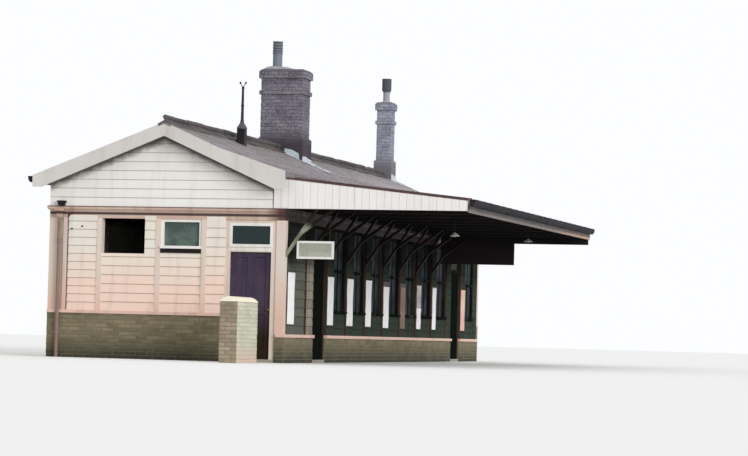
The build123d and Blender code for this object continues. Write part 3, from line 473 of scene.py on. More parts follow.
plinth_mortar = mineral("olive mortar", "#7f7862", "#8f8771", "#54533f", 26, 0.006, 0.95, 0.6, 1.5)
screen_brick = mineral("brown brick of the screen", "#8b8067", "#ab9b87", "#706a57", 22, 0.008, 0.92, 0.6,
                       2.6)
lime_brick = mineral("limewashed brick", "#c3c4b2", "#d4d1c0", "#abad9b", 18, 0.006, 0.9, 0.5, 2.6,
                     band=(0.05, 0.5, "#d3bbab"))
coping_cement = mineral("cream cement coping", "#fdf6df", "#fffaec", "#d0c9ae", 14, 0.006, 0.9, 0.4, 4.0)
lime_mortar = mineral("limewashed mortar", "#b3b4a1", "#c2c0ae", "#9a9b89", 24, 0.005, 0.95, 0.5, 2.6,
                      band=(0.05, 0.5, "#c0a798"))
floor_cement = mineral("worn cement floor", "#9b9488", "#aea798", "#777065", 12, 0.003, 0.85, 0.4, 1.0)
mound_mortar = mineral("smoked mortar round the pots", "#a2a4a6", "#bcbdbf", "#6d6a72", 22, 0.008, 0.95, 0.6,
                       5.0, band=(6.384, 6.400, "#6b6870"))
lead_sheet = mineral("weathered lead", "#b9c3ca", "#d5dade", "#8b8f94", 9, 0.003, 0.5, 0.5, 7.0)
print("finishes so far", len(bpy.data.materials))

# %% [markdown]
# ## Smoked chimney pots
# The two pots are one CAD node, so one clay finish serves both. The pot of the big stack has
# bands, dark in the grooves between them. The one of the small stack is pale at its waist and
# dark on its drum, and each stands in a pale bed.

# %% The clay of the pots
FIRST_BAND, BAND_PITCH, BAND_SHARE = 6.748, 0.062, 0.4
BIG_BED_TOP, SMALL_BED_TOP = (6.43, 6.42), (6.50, 6.49)
DRUM_START, DRUM_FULL = 6.68, 6.74


def smoked_pot():
    """Clay of both pots: pale bands and bed, dark between the bands and on the small stack's drum."""
    material, tree, surface, place = new_finish("smoked clay pot")
    grain = noise(tree, place, 26.0, detail=8, rough=0.7)
    banded = blend(tree, grain, tint("#5b626c"), tint("#838a93"))
    height = axis_of(tree, place, "Z")
    pitch = calc(tree, "FRACT", calc(tree, "DIVIDE", calc(tree, "SUBTRACT", height, FIRST_BAND), BAND_PITCH))
    groove = calc(tree, "MULTIPLY", calc(tree, "GREATER_THAN", pitch, BAND_SHARE),
                  calc(tree, "GREATER_THAN", height, FIRST_BAND - 0.008))
    banded = stain(tree, banded, groove, 0.75, "#43474f")
    drum = blend(tree, grain, tint("#373842"), tint("#52535d"))
    waist = blend(tree, grain, tint("#8d8f97"), tint("#a4a6ac"))
    waisted = blend(tree, zone(tree, place, "Z", DRUM_START, DRUM_FULL), waist, drum)
    far = zone(tree, place, "X", 4.0, 5.0)
    colour = blend(tree, far, banded, waisted)
    far_bed = calc(tree, "MULTIPLY", far, zone(tree, place, "Z", *SMALL_BED_TOP))
    bed = calc(tree, "MAXIMUM", far_bed, zone(tree, place, "Z", *BIG_BED_TOP))
    colour = blend(tree, bed, colour, tint("#a9a6a3"))
    tree.links.new(colour, surface.inputs["Base Color"])
    tree.links.new(spread(tree, grain, 0.3, 0.7, 0.7, 0.9), surface.inputs["Roughness"])
    relief(tree, surface, grain, 0.5, 0.004)
    return material


pot_clay = smoked_pot()
print("mineral finishes done")

# %% [markdown]
# ## Metal
# Cast iron and sheet metal are painted, so they are not metallic: their sheen comes from a lower
# roughness, broken by rust and dust. Only the brass knob is bare metal.

# %% Metal finishes
def painted_metal(name, main, second, rust, rough=0.45, rusted=0.4, metallic=0.0, shine=0.3, zones=()):
    """Paint on iron or sheet, with rust where the paint has gone, and the same zones as on timber."""
    material, tree, surface, place = new_finish(name)
    patch = spread(tree, noise(tree, place, 3.0, detail=5), 0.4, 0.65)
    colour = in_zones(tree, place, blend(tree, patch, tint(main), tint(second)), zones)
    gone = spread(tree, noise(tree, place, 14.0, detail=8, rough=0.7), 0.58, 0.7)
    colour = stain(tree, colour, gone, rusted, rust)
    tree.links.new(colour, surface.inputs["Base Color"])
    tree.links.new(spread(tree, gone, 0, 1, rough, 0.85), surface.inputs["Roughness"])
    surface.inputs["Metallic"].default_value = metallic
    surface.inputs["Specular IOR Level"].default_value = shine
    relief(tree, surface, noise(tree, place, 60.0), 0.25, 0.002)
    return material


# After the name: paint, second paint and rust, roughness, share of rust
cast_iron = painted_metal("painted cast iron", "#211e23", "#2a272b", "#43332b", 0.7, shine=0.12)
pipe_paint = painted_metal("buff-brown paint on a rainwater pipe", "#8f786c", "#7f6a60", "#54403a", 0.6,
                           zones=(("Z", 2.70, 2.74, "#c2a496"),))
# The moulding's painted shade line also runs across the pipe
add_shade_line(pipe_paint, MOULDING_LINE, 0.036, "#2a1319", 0.93)
vent_iron = painted_metal("black iron of the vent, greyer on its cap", "#1e1b1f", "#292427", "#40322b", 0.6,
                          shine=0.2, zones=(("Z", 4.757, 4.765, "#57535a"), ("Z", 4.90, 4.94, "#2b282c")))
deck_sheet = painted_metal("painted deck sheet", "#4a3635", "#5a4644", "#6a4a3e", 0.7, 0.5)
lamp_white = painted_metal("white enamel", "#f2f2ec", "#e2e1d8", "#6a5a4a", 0.25, 0.3)
dull_brass = painted_metal("dull brass", "#7d6a3c", "#665530", "#3f3622", 0.4, 0.4, 1.0)
print("finishes so far", len(bpy.data.materials))

# %% [markdown]
# ## Glass and paper
# Old window glass is dark because the rooms behind are dark. It is kept as a dark gloss with dusty
# patches, which also survives an export, and it is dullest along the sooty platform. The bills on
# the platform wall are plain sheets of paper, faded in bands and without any print.

# %% Glass and paper finishes
def old_glass():
    """Dark window glass: grey-green on the gable, darker over the side door, black on the platform."""
    material, tree, surface, place = new_finish("old window glass")
    dust = spread(tree, noise(tree, place, 2.4, detail=5), 0.45, 0.7)
    colour = blend(tree, dust, tint("#475652"), tint("#6f7e77"))
    colour = in_zones(tree, place, colour, (("Y", -0.9, -1.1, "#2b3737"), ("Y", -2.2, -2.3, "#101a1c")))
    tree.links.new(colour, surface.inputs["Base Color"])
    sooty = calc(tree, "MULTIPLY", zone(tree, place, "Y", -2.2, -2.3), 0.45)
    roughness = calc(tree, "ADD", spread(tree, dust, 0, 1, 0.06, 0.35), sooty)
    tree.links.new(roughness, surface.inputs["Roughness"])
    surface.inputs["Specular IOR Level"].default_value = 0.1
    relief(tree, surface, noise(tree, place, 3.0, detail=1), 0.15, 0.01)
    return material


def paper(name, main, second, faded):
    """Blank paper with faded bands, a little creased."""
    material, tree, surface, place = new_finish(name)
    bands = spread(tree, noise(tree, place, 1.6, (0.2, 0.2, 2.0), detail=2), 0.4, 0.62)
    colour = blend(tree, bands, tint(main), tint(second))
    worn = spread(tree, noise(tree, place, 7.0, detail=6), 0.5, 0.75)
    tree.links.new(stain(tree, colour, worn, 0.5, faded), surface.inputs["Base Color"])
    crease = noise(tree, place, 9.0, detail=3)
    tree.links.new(spread(tree, crease, 0.3, 0.7, 0.7, 0.9), surface.inputs["Roughness"])
    relief(tree, surface, crease, 0.4, 0.01)
    return material


glass_finish = old_glass()
white_bill = paper("white bill", "#fcfdfd", "#f5f8fa", "#e6e5e0")
grey_bill = paper("grey bill", "#a9a7ab", "#d8d6d2", "#8e8a88")
brown_bill = paper("browned bill", "#7d6656", "#8f7866", "#5f4c40")
pink_bill = paper("pink bill", "#dfb4a6", "#e6c3b4", "#b98e80")
blank_field = paper("blank grey-green field", "#9da093", "#b1b2a4", "#7f8277")
print("finishes in all", len(bpy.data.materials))

# %% [markdown]
# ## Dressing the CAD solids
# The solids that already have the right shape keep it, and only their material slot changes.
# A table from finish to solids makes the choice easy to read, and the loop checks that no solid
# was missed.

# %% Give each CAD solid its finish
dressed = {
    buff_paint: ["near_gable_posts", "far_gable_posts", "back_wall_posts", "plinth_sills"],
    door_frame_paint: ["gents_door_frame"],
    frieze_paint: ["frieze"],
    cream_boards: ["near_gable_boards", "far_gable_boards", "back_wall_lower_boards", "back_wall_pier_boards",
                   "back_wall_upper_boards"],
    pediment_paint: ["near_pediment", "far_pediment"],
    canopy_boards: ["canopy_near_panel"],
    barge_paint: ["near_bargeboards", "far_bargeboards"],
    white_paint: ["ceiling", "name_board"],
    sash_paint: ["window_frames"],
    fascia_paint: ["canopy_fascia"],
    brown_paint: ["platform_wall_posts", "outer_door_frames"],
    bracket_paint: ["canopy_brackets"],
    dark_boards: ["platform_wall_lower_boards", "platform_wall_pier_boards", "platform_wall_upper_boards"],
    # The joists and the far end panel are near-black, painted shade under the canopy
    painted_shade_timber: ["canopy_joists", "canopy_far_panel"],
    door_paint: ["gents_door", "outer_doors"],
    bill_board_paint: ["poster_boards"],
    slate_finish: ["roof_front_slope", "roof_back_slope"],
    ridge_finish: ["ridge_tiles"],
    big_stack_mortar: ["big_chimney"],
    small_stack_mortar: ["small_chimney"],
    pot_clay: ["chimney_pots"],
    plinth_mortar: ["plinth", "screen_wall"],
    coping_cement: ["screen_coping"],
    floor_cement: ["floor", "thresholds"],
    deck_sheet: ["canopy_deck"],
    pipe_paint: ["downpipes"],
    cast_iron: ["gutters", "name_board_hangers", "gents_frame_hinges", "gents_door_hinges"],
    vent_iron: ["roof_vent"],
    dull_brass: ["gents_door_knob"],
    lamp_white: ["canopy_lamps"],
    glass_finish: ["window_glass"],
}
for finish, names in dressed.items():
    for name in names:
        mesh = nodes[name].data
        mesh.materials.clear()
        mesh.materials.append(finish)
missed = sorted(set(nodes) - {name for names in dressed.values() for name in names})
print("solids dressed", len(nodes) - len(missed), "missed", missed)

# %% [markdown]
# ## Geometry Nodes helpers
# Boards, bricks, stones and slates all lie in courses, so one node tree can lay them all. The
# helpers below make a tree with named inputs, add nodes to it, and run it on a stand-in object.
# The result is turned into a plain mesh, because an export keeps no instances.

# %% Helpers that build and run node trees
def new_tree(name, sizes):
    """A Geometry Nodes tree with a geometry input and output, named sizes, a seed and a finish."""
    tree = bpy.data.node_groups.new(name, "GeometryNodeTree")
    tree.is_modifier = True
    sockets = tree.interface
    sockets.new_socket("Piece", in_out="INPUT", socket_type="NodeSocketGeometry")
    sockets.new_socket("Piece", in_out="OUTPUT", socket_type="NodeSocketGeometry")
    for label, value in sizes.items():
        kind = {int: "NodeSocketInt", float: "NodeSocketFloat", tuple: "NodeSocketVector"}[type(value)]
        sockets.new_socket(label, in_out="INPUT", socket_type=kind).default_value = value
    sockets.new_socket("Finish", in_out="INPUT", socket_type="NodeSocketMaterial")
    given = tree.nodes.new("NodeGroupInput").outputs
    return tree, given


def put(tree, kind, settings=None, **inputs):
    """Add a node, choose its settings, and feed its inputs by name."""
    made = tree.nodes.new(kind)
    for label, value in (settings or {}).items():
        setattr(made, label, value)
    for label, value in inputs.items():
        wanted = label.replace("_", " ")
        feed(tree, next(s for s in made.inputs if s.enabled and s.name == wanted), value)
    return made


def out(made, label=None):
    """The first shown output of a node, or the one with a name."""
    return next(s for s in made.outputs if s.enabled and (label is None or s.name == label))


def grow(tree, sizes, finish, start=None):
    """Run a tree on a stand-in object, and return the plain mesh that it makes."""
    stand_in = bpy.data.objects.new("stand_in", start or bpy.data.meshes.new("stand_in"))
    scene.collection.objects.link(stand_in)
    maker = stand_in.modifiers.new("maker", "NODES")
    maker.node_group = tree
    values = dict(sizes, Finish=finish)
    for item in tree.interface.items_tree:
        if item.item_type == "SOCKET" and item.in_out == "INPUT" and item.name in values:
            maker[item.identifier] = values[item.name]
    depsgraph = bpy.context.evaluated_depsgraph_get()
    mesh = bpy.data.meshes.new_from_object(stand_in.evaluated_get(depsgraph))
    bpy.data.objects.remove(stand_in)
    for label in ("corner", "left", "right", "low", "high"):
        if label in mesh.attributes:
            mesh.attributes.remove(mesh.attributes[label])
    return mesh


print("tree helpers ready")

# %% [markdown]
# ## Pieces of plain mesh
# A finished piece is one mesh or several joined ones, at the origin. It rides on a body of the
# model, so that what is fixed to a door moves with it.

# %% Helpers that make pieces
def piece(name, meshes, body="building"):
    """Join meshes into one piece at the origin that rides on a body."""
    parts = [bpy.data.objects.new(name, mesh) for mesh in meshes]
    for part in parts:
        scene.collection.objects.link(part)
    if len(parts) > 1:
        with bpy.context.temp_override(active_object=parts[0], selected_editable_objects=parts):
            bpy.ops.object.join()
    made = parts[0]
    made.name = name
    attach(made, body)
    print("piece", name, "triangles", sum(len(p.vertices) - 2 for p in made.data.polygons))
    return made


def lay(mesh, origin, along, outward, up):
    """Move a mesh from its own (along, outward, up) axes to a place on the building."""
    turn = Matrix((Vector(along), Vector(outward), Vector(up))).transposed().to_4x4()
    turn.translation = origin
    mesh.transform(turn)
    if turn.determinant() < 0:
        mesh.flip_normals()
    return mesh


print("piece helpers ready")

# %% [markdown]
# ## Plain shapes
# Straight parts are prisms, which are a closed profile run along one axis, as a saw or a mould
# would make them on a real building. The other shapes are made from their corners and faces.

# %% Helpers that make plain shapes
def plain_mesh(name, corners, faces, finish=None):
    """A mesh from its corners and faces. A mesh that a tree repeats gets its finish there."""
    mesh = bpy.data.meshes.new(name)
    mesh.from_pydata(corners, [], faces)
    if finish:
        mesh.materials.append(finish)
    return mesh


def rectangle(a0, a1, b0, b1):
    """The outline of a rectangle, for a prism."""
    return [(a0, b0), (a1, b0), (a1, b1), (a0, b1)]


def prism(outline, start, end, finish=None, axis="x"):
    """A closed profile of two coordinates, run along an axis, as a mesh with outward faces."""
    count = len(outline)
    spot = {"x": lambda s, a, b: (s, a, b), "y": lambda s, a, b: (a, s, b), "z": lambda s, a, b: (a, b, s)}
    corners = [spot[axis](s, a, b) for s in (start, end) for a, b in outline]
    pairs = [(i, (i + 1) % count) for i in range(count)]
    faces = [(i, j, count + j, count + i) for i, j in pairs]
    faces += [tuple(range(count))[::-1], tuple(range(count, 2 * count))]
    mesh = plain_mesh("prism", corners, faces, finish)
    area = sum(outline[i][0] * outline[j][1] - outline[j][0] * outline[i][1] for i, j in pairs)
    if (area < 0) != (axis == "y"):
        mesh.flip_normals()
    return mesh


print("shape helpers ready")

# %% [markdown]
# ## One tree for everything laid in courses
# A lapped board is thicker at its lower edge, a slate is the same thing on a slope, a brick is as
# thick at both edges and set half a length over from the course below. So a course needs only a
# few sizes: its gauge, the length of a piece, the joint, the thickness at the bottom (butt) and at
# the top (tip), and how far alternate courses shift (bond). Sloping limits trim the ends under a
# roof line.

# %% Sizes and helpers of the courses tree
course_sizes = {
    "Start": 0.0, "End": 1.0, "Low": 0.0, "High": 1.0, "Gauge": 0.2, "Length": 100.0, "Joint": 0.0,
    "Butt": 0.02, "Tip": 0.006, "Bond": 0.0, "Ragged": 0.0, "Uneven": 0.1, "Pillow": 0.0, "Facets": 2,
    "Left Base": -1e4, "Left Slope": 0.0, "Left Base 2": -1e4, "Left Slope 2": 0.0,
    "Right Base": 1e4, "Right Slope": 0.0, "Seed": 3,
}
courses, given = new_tree("courses", course_sizes)


def do(operation, first, second=None):
    """A math node in the tree of courses."""
    return calc(courses, operation, first, second)


def chance(low, high, index):
    """A random number for an index, from the tree's seed."""
    return out(put(courses, "FunctionNodeRandomValue", {"data_type": "FLOAT"},
                   Min=low, Max=high, ID=index, Seed=given["Seed"]))


def keep(geometry, label, value, kind="FLOAT"):
    """Store a value on each point of the geometry under a name."""
    return out(put(courses, "GeometryNodeStoreNamedAttribute", {"data_type": kind, "domain": "POINT"},
                   Geometry=geometry, Name=label, Value=value))


def kept(label, kind="FLOAT"):
    """Read a stored value back."""
    return out(put(courses, "GeometryNodeInputNamedAttribute", {"data_type": kind}, Name=label), "Attribute")


print("courses tree has", len(course_sizes), "sizes")

# %% [markdown]
# ## Where the pieces of a course go
# The tree drops one point for each piece, counted row by row, and works out the piece's left and
# right ends and its lower and upper edges. Real slaters and bricklayers never hit their line
# exactly, so each joint may stray a little. Pieces that fall outside the wall are thrown away.

# %% One point for each piece
def stray(joint_number):
    """How far a joint strays from its line."""
    return do("MULTIPLY", given["Ragged"], chance(-1.0, 1.0, joint_number))


room_up = do("SUBTRACT", given["High"], given["Low"])
room_along = do("SUBTRACT", given["End"], given["Start"])
rows = do("CEIL", do("SUBTRACT", do("DIVIDE", room_up, given["Gauge"]), 0.001))
columns = do("ADD", do("CEIL", do("DIVIDE", room_along, given["Length"])), 1.0)
points = out(put(courses, "GeometryNodeMeshLine", Count=do("MULTIPLY", rows, columns)))
index = out(put(courses, "GeometryNodeInputIndex"))
row = do("FLOOR", do("DIVIDE", do("ADD", index, 0.5), columns))
column = do("SUBTRACT", index, do("MULTIPLY", row, columns))
shifted = do("SUBTRACT", column, do("MULTIPLY", do("MODULO", row, 2.0), given["Bond"]))
joint_id = do("ADD", do("MULTIPLY", row, 997.0), column)
joint_line = do("ADD", given["Start"], do("MULTIPLY", shifted, given["Length"]))
left = do("ADD", joint_line, stray(joint_id))
right = do("ADD", do("ADD", joint_line, given["Length"]), stray(do("ADD", joint_id, 1.0)))
half_joint = do("MULTIPLY", given["Joint"], 0.5)
left = do("MAXIMUM", do("ADD", left, half_joint), given["Start"])
right = do("MINIMUM", do("SUBTRACT", right, half_joint), given["End"])
low = do("ADD", given["Low"], do("MULTIPLY", row, given["Gauge"]))
high = do("MINIMUM", do("SUBTRACT", do("ADD", low, given["Gauge"]), given["Joint"]), given["High"])
for label, value in (("left", left), ("right", right), ("low", low), ("high", high),
                     ("tone", chance(0.0, 1.0, index))):
    points = keep(points, label, value)
outside = do("LESS_THAN", do("SUBTRACT", kept("right"), kept("left")), 0.012)
points = out(put(courses, "GeometryNodeDeleteGeometry", {"domain": "POINT"}, Geometry=points,
                 Selection=outside))
print("points of the courses tree ready")

# %% [markdown]
# ## The block at each point
# Each point gets a small block, and the block's corners are then moved to where they belong: up
# between the edges of the course, along between the ends of the piece, and outwards by a
# thickness that thins from butt to tip. A pillowed brick also falls back at its rim.

# %% Blocks moved to their places
block = put(courses, "GeometryNodeMeshCube", Vertices_X=given["Facets"], Vertices_Z=given["Facets"])
block = keep(out(block, "Mesh"), "corner", out(put(courses, "GeometryNodeInputPosition")), "FLOAT_VECTOR")
blocks = out(put(courses, "GeometryNodeInstanceOnPoints", Points=points, Instance=block))
blocks = out(put(courses, "GeometryNodeRealizeInstances", Geometry=blocks))

corner = put(courses, "ShaderNodeSeparateXYZ", Vector=kept("corner", "FLOAT_VECTOR")).outputs
rise = do("ADD", corner["Z"], 0.5)
depth = do("ADD", corner["Y"], 0.5)
across = do("ADD", corner["X"], 0.5)
level = do("ADD", kept("low"), do("MULTIPLY", rise, do("SUBTRACT", kept("high"), kept("low"))))
blocks = keep(blocks, "rise", do("DIVIDE", do("SUBTRACT", level, kept("low")), given["Gauge"]))


def limit(base, slope):
    """A sloping limit on the length of a course, at this height."""
    return do("ADD", given[base], do("MULTIPLY", given[slope], level))


left_limit = do("MINIMUM", limit("Left Base", "Left Slope"), limit("Left Base 2", "Left Slope 2"))
start = do("MAXIMUM", kept("left"), left_limit)
end = do("MAXIMUM", start, do("MINIMUM", kept("right"), limit("Right Base", "Right Slope")))
along = do("ADD", start, do("MULTIPLY", across, do("SUBTRACT", end, start)))
thick = do("ADD", given["Butt"], do("MULTIPLY", rise, do("SUBTRACT", given["Tip"], given["Butt"])))
warped = do("MULTIPLY", given["Uneven"], do("SUBTRACT", kept("tone"), 0.5))
thick = do("MULTIPLY", thick, do("ADD", 1.0, warped))
rim = do("MAXIMUM", do("ABSOLUTE", corner["X"]), do("ABSOLUTE", corner["Z"]))
thick = do("SUBTRACT", thick, do("MULTIPLY", given["Pillow"], do("GREATER_THAN", rim, 0.45)))
shaped = put(courses, "ShaderNodeCombineXYZ", X=along, Y=do("MULTIPLY", depth, thick), Z=level)
blocks = out(put(courses, "GeometryNodeSetPosition", Geometry=blocks, Position=out(shaped)))
blocks = out(put(courses, "GeometryNodeSetShadeSmooth", Geometry=blocks, Shade_Smooth=False))
blocks = out(put(courses, "GeometryNodeSetMaterial", Geometry=blocks, Material=given["Finish"]))
courses.links.new(blocks, courses.nodes.new("NodeGroupOutput").inputs[0])
print("courses tree ready with", len(courses.nodes), "nodes")

# %% [markdown]
# ## Lapped boards on the gables
# The walls are clad in horizontal boards that throw a thin shadow line at each lower edge. They
# could be drawn as a bump, but a real sawtooth face catches light from every side. Each panel
# between two posts gets its own stretch of courses, with the CAD slab left behind as backing.

# %% Lapped boards of the gables
LAP_GAUGE, PANE_FOOT, LIGHT_FOOT = 0.1755, 2.15, 2.04
lapped = {"Butt": 0.019, "Tip": 0.006, "Uneven": 0.12}
sprung = {"High": 2.775, "Gauge": 0.3, "Tip": 0.034, "Uneven": 0.0}


def on_gable(mesh, end, face):
    """Stand a mesh on a gable, with its courses along Y."""
    return lay(mesh, (face, 0, 0), (0, 1, 0), (end, 0, 0), (0, 0, 1))


def gable_panel(end, y0, y1, high, gauge, seed):
    """Lapped boards on a panel of a gable. One that reaches the head has a board sprung over the beam."""
    last_lap = GABLE_SILL + gauge * int((HEAD - GABLE_SILL) / gauge)
    sizes = dict(lapped, Start=y0, End=y1, Gauge=gauge, Seed=seed)
    all_sizes = [dict(sizes, Low=GABLE_SILL, High=last_lap if high == HEAD else high)]
    if high == HEAD:
        all_sizes.append({**sizes, "Low": last_lap, **sprung})
    face = X_NEAR + BOARD_RECESS if end < 0 else X_FAR - BOARD_RECESS
    return [on_gable(grow(courses, sizes, cream_boards), end, face) for sizes in all_sizes]


# Each panel: its two edges, the top of its boards (a window's foot or the head) and their gauge
near_panels = [(-1.20, -0.82, HEAD, 0.182), (-0.72, 0.11, PANE_FOOT, LAP_GAUGE),
               (0.21, 0.44, HEAD, LAP_GAUGE), (0.44, 1.32, LIGHT_FOOT, LAP_GAUGE), (1.42, 2.02, HEAD, 0.1577)]
far_panels = [(-2.23, -1.85, HEAD, LAP_GAUGE), (-1.75, -0.92, PANE_FOOT, LAP_GAUGE),
              (-0.82, 0.82, HEAD, LAP_GAUGE), (0.92, 1.75, PANE_FOOT, LAP_GAUGE),
              (1.85, 2.23, HEAD, LAP_GAUGE)]
gable_meshes = []
for end, panels, first_seed in ((-1, near_panels, 0), (1, far_panels, 9)):
    for number, panel in enumerate(panels):
        gable_meshes += gable_panel(end, *panel, first_seed + number)
piece("gable_lapped_boards", gable_meshes)

# %% [markdown]
# ## Lapped boards on the long walls
# The two long walls repeat one bay: a boarded pier, and boards under the window. A door leaves its
# opening clear. Both walls share one loop, and each panel's seed comes from its bay, so that no two
# bays look alike. The back wall is also boarded above its head beam, up to the eaves.

# %% Lapped boards of the long walls
WINDOW_SILL, NARROW_GAUGE = 1.0, 0.15


def on_long_wall(mesh, side, face):
    """Stand a mesh on a long wall, with its courses along X."""
    return lay(mesh, (0, face, 0), (1, 0, 0), (0, side, 0), (0, 0, 1))


def side_panel(side, x0, x1, low, high, finish, seed, gauge=LAP_GAUGE, recess=BOARD_RECESS):
    """Lapped boards on a panel of a long wall."""
    sizes = dict(lapped, Start=x0, End=x1, Low=low, High=high, Gauge=gauge, Seed=seed)
    return on_long_wall(grow(courses, sizes, finish), side, Y_FRONT + recess if side < 0 else Y_BACK - recess)


def wall_meshes(side, doors, windows, finish):
    """All the boarded panels of a long wall."""
    meshes = []
    for number in range(BAYS):
        start, end = bay_clear(number)
        if number in doors or number in windows:
            x0, x1 = opening(number)
            meshes.append(side_panel(side, start, x0, SIDE_SILL, HEAD, finish, 20 + number))
            if number in windows:
                meshes.append(side_panel(side, x0, x1, SIDE_SILL, WINDOW_SILL, finish, 40 + number,
                                         NARROW_GAUGE))
            start = x1
        if end - start > 0.01:
            meshes.append(side_panel(side, start, end, SIDE_SILL, HEAD, finish, 60 + number))
    return meshes


piece("platform_wall_boarding", wall_meshes(-1, DOOR_BAYS, WINDOW_BAYS, dark_boards))
back_meshes = wall_meshes(1, BACK_DOORS, BACK_WINDOWS, cream_boards)
back_top = roof_top(Y_BACK) - ROOF_DROP - 0.015
back_meshes.append(side_panel(1, X_NEAR + 0.15, X_FAR - 0.15, FRIEZE, back_top, cream_boards, 77, recess=0.0))
piece("back_wall_boarding", back_meshes)

# %% [markdown]
# ## The boarded pediments
# Each gable's triangle is boarded in the same way, but the boards are cut to the roof's slope,
# with a break in it on the platform side. The sloping limits of the tree do that cutting, so the
# board ends follow the underside of the roof exactly.

# %% Pediment boards
under = RIDGE - ROOF_DROP
break_top = under - FRONT_SLOPE * BREAK + EAVES_SLOPE * BREAK
CORNER_JOINT = Y_FRONT + 0.265
pediment_sizes = {
    "Start": CORNER_JOINT, "End": Y_BACK, "Low": FRIEZE, "High": under - 0.02, "Gauge": 0.176, "Butt": 0.02,
    "Tip": 0.006, "Left Base": -under / FRONT_SLOPE, "Left Slope": 1 / FRONT_SLOPE,
    "Left Base 2": -break_top / EAVES_SLOPE, "Left Slope 2": 1 / EAVES_SLOPE,
    "Right Base": under / BACK_SLOPE, "Right Slope": -1 / BACK_SLOPE,
}
pediments = [on_gable(grow(courses, dict(pediment_sizes, Seed=seed), pediment_paint), end, face)
             for end, face, seed in ((-1, X_NEAR, 5), (1, X_FAR, 6))]
piece("pediment_boards", pediments)

# %% [markdown]
# ## Upright boards on the canopy's ends
# The canopy's end panels are boarded upright, with joints about as wide as a pencil. The same
# tree makes them lying on their side: here its "up" runs outwards over the platform, and the
# sloping limit is the canopy's deck. A near-black fillet, painted shade, closes the joint to the pediment's
# boards.

# %% Upright boards of the canopy ends
FAR_PANEL_STEP = Y_FRONT - 1.81


def upright_boards(x, outward_sign, inner, outer, foot, seed):
    """Upright boards on a canopy end, from a foot height to the underside of the deck."""
    sizes = {"Start": foot, "End": 4.0, "Low": 0.0, "High": inner - outer, "Gauge": 0.146, "Joint": 0.006,
             "Butt": 0.012, "Tip": 0.012, "Right Base": canopy_under(inner) - 0.003,
             "Right Slope": -CANOPY_FALL / CANOPY_DEPTH, "Uneven": 0.3, "Seed": seed}
    mesh = grow(courses, sizes, canopy_boards)
    return lay(mesh, (x, inner, 0), (0, 0, 1), (outward_sign, 0, 0), (0, -1, 0))


canopy_meshes = [upright_boards(X_NEAR, -1, CORNER_JOINT - 0.012, CANOPY_EDGE, FRIEZE, 7),
                 upright_boards(CANOPY_END, 1, Y_FRONT - 0.045, FAR_PANEL_STEP, 2.30, 8),
                 upright_boards(CANOPY_END, 1, FAR_PANEL_STEP, CANOPY_EDGE, 2.80, 9)]
piece("canopy_end_boards", canopy_meshes)
# Near-black as painted shade in the joint
fillet_outline = rectangle(CORNER_JOINT - 0.013, CORNER_JOINT + 0.002, FRIEZE + 0.004, 3.34)
fillet = prism(fillet_outline, X_NEAR - 0.016, X_NEAR, painted_shade_timber)
piece("gable_corner_fillet", [fillet])

# %% [markdown]
# ## Soffit boards
# Under the deck, narrow near-black boards, painted shade, run along the canopy above the joists, with their
# ends half a length apart. The courses tree lays them once more, with its "up" running down the canopy's fall
# and its outward side facing the ground.

# %% Soffit boards
slope_length = math.hypot(CANOPY_DEPTH, CANOPY_FALL)
down = Vector((0, -CANOPY_DEPTH, -CANOPY_FALL)) / slope_length
soffit_sizes = {"Start": X_NEAR + 0.03, "End": CANOPY_END - 0.03, "Low": 0.0, "High": slope_length - 0.03,
                "Gauge": 0.14, "Joint": 0.004, "Butt": 0.012, "Tip": 0.012, "Length": 3.1, "Bond": 0.5,
                "Seed": 11}
# The soffit boards are near-black as painted shade
soffit = lay(grow(courses, soffit_sizes, painted_shade_timber), (0, Y_FRONT, canopy_under(Y_FRONT)), (1, 0, 0),
             Vector((0, -down.z, down.y)), down)
piece("canopy_soffit_boards", [soffit])

# %% [markdown]
# ## One tree for everything set in a row
# Ridge tiles, seams, gutter collars, glazing bars and pipe sockets are one shape repeated at even
# steps. A second small tree repeats a piece along a line, with a little play in height and turn,
# because the real ones have settled.

# %% Build the tree that repeats a piece in a row
row_sizes = {"Count": 2, "Start": (0.0, 0.0, 0.0), "Step": (1.0, 0.0, 0.0), "Lift": 0.0, "Turn": 0.0,
             "Seed": 4}
in_row, row_given = new_tree("pieces in a row", row_sizes)
spots = out(put(in_row, "GeometryNodeMeshLine", Count=row_given["Count"], Start_Location=row_given["Start"],
                Offset=row_given["Step"]))
spot_index = out(put(in_row, "GeometryNodeInputIndex"))


def play(amount, seed_shift):
    """A random amount of play, either way, for each piece of the row."""
    swing = out(put(in_row, "FunctionNodeRandomValue", {"data_type": "FLOAT"}, Min=-1.0, Max=1.0,
                    ID=spot_index, Seed=calc(in_row, "ADD", row_given["Seed"], seed_shift)))
    return calc(in_row, "MULTIPLY", swing, amount)


spots = out(put(in_row, "GeometryNodeStoreNamedAttribute", {"data_type": "FLOAT", "domain": "POINT"},
                Geometry=spots, Name="tone", Value=calc(in_row, "ADD", play(0.5, 9.0), 0.5)))
turn = put(in_row, "ShaderNodeCombineXYZ", X=play(row_given["Turn"], 1.0), Y=play(row_given["Turn"], 2.0),
           Z=play(row_given["Turn"], 3.0))
repeated = out(put(in_row, "GeometryNodeInstanceOnPoints", Points=spots, Instance=row_given["Piece"],
                   Rotation=out(turn)))
lift = put(in_row, "ShaderNodeCombineXYZ", Z=play(row_given["Lift"], 4.0))
repeated = out(put(in_row, "GeometryNodeTranslateInstances", Instances=repeated, Translation=out(lift)))
repeated = out(put(in_row, "GeometryNodeRealizeInstances", Geometry=repeated))
repeated = out(put(in_row, "GeometryNodeSetMaterial", Geometry=repeated, Material=row_given["Finish"]))
in_row.links.new(repeated, in_row.nodes.new("NodeGroupOutput").inputs[0])


def row_of(shape, finish, count, start, step, **more):
    """A shape repeated at even steps."""
    return grow(in_row, dict(more, Count=count, Start=start, Step=step), finish, shape)


print("row tree ready")

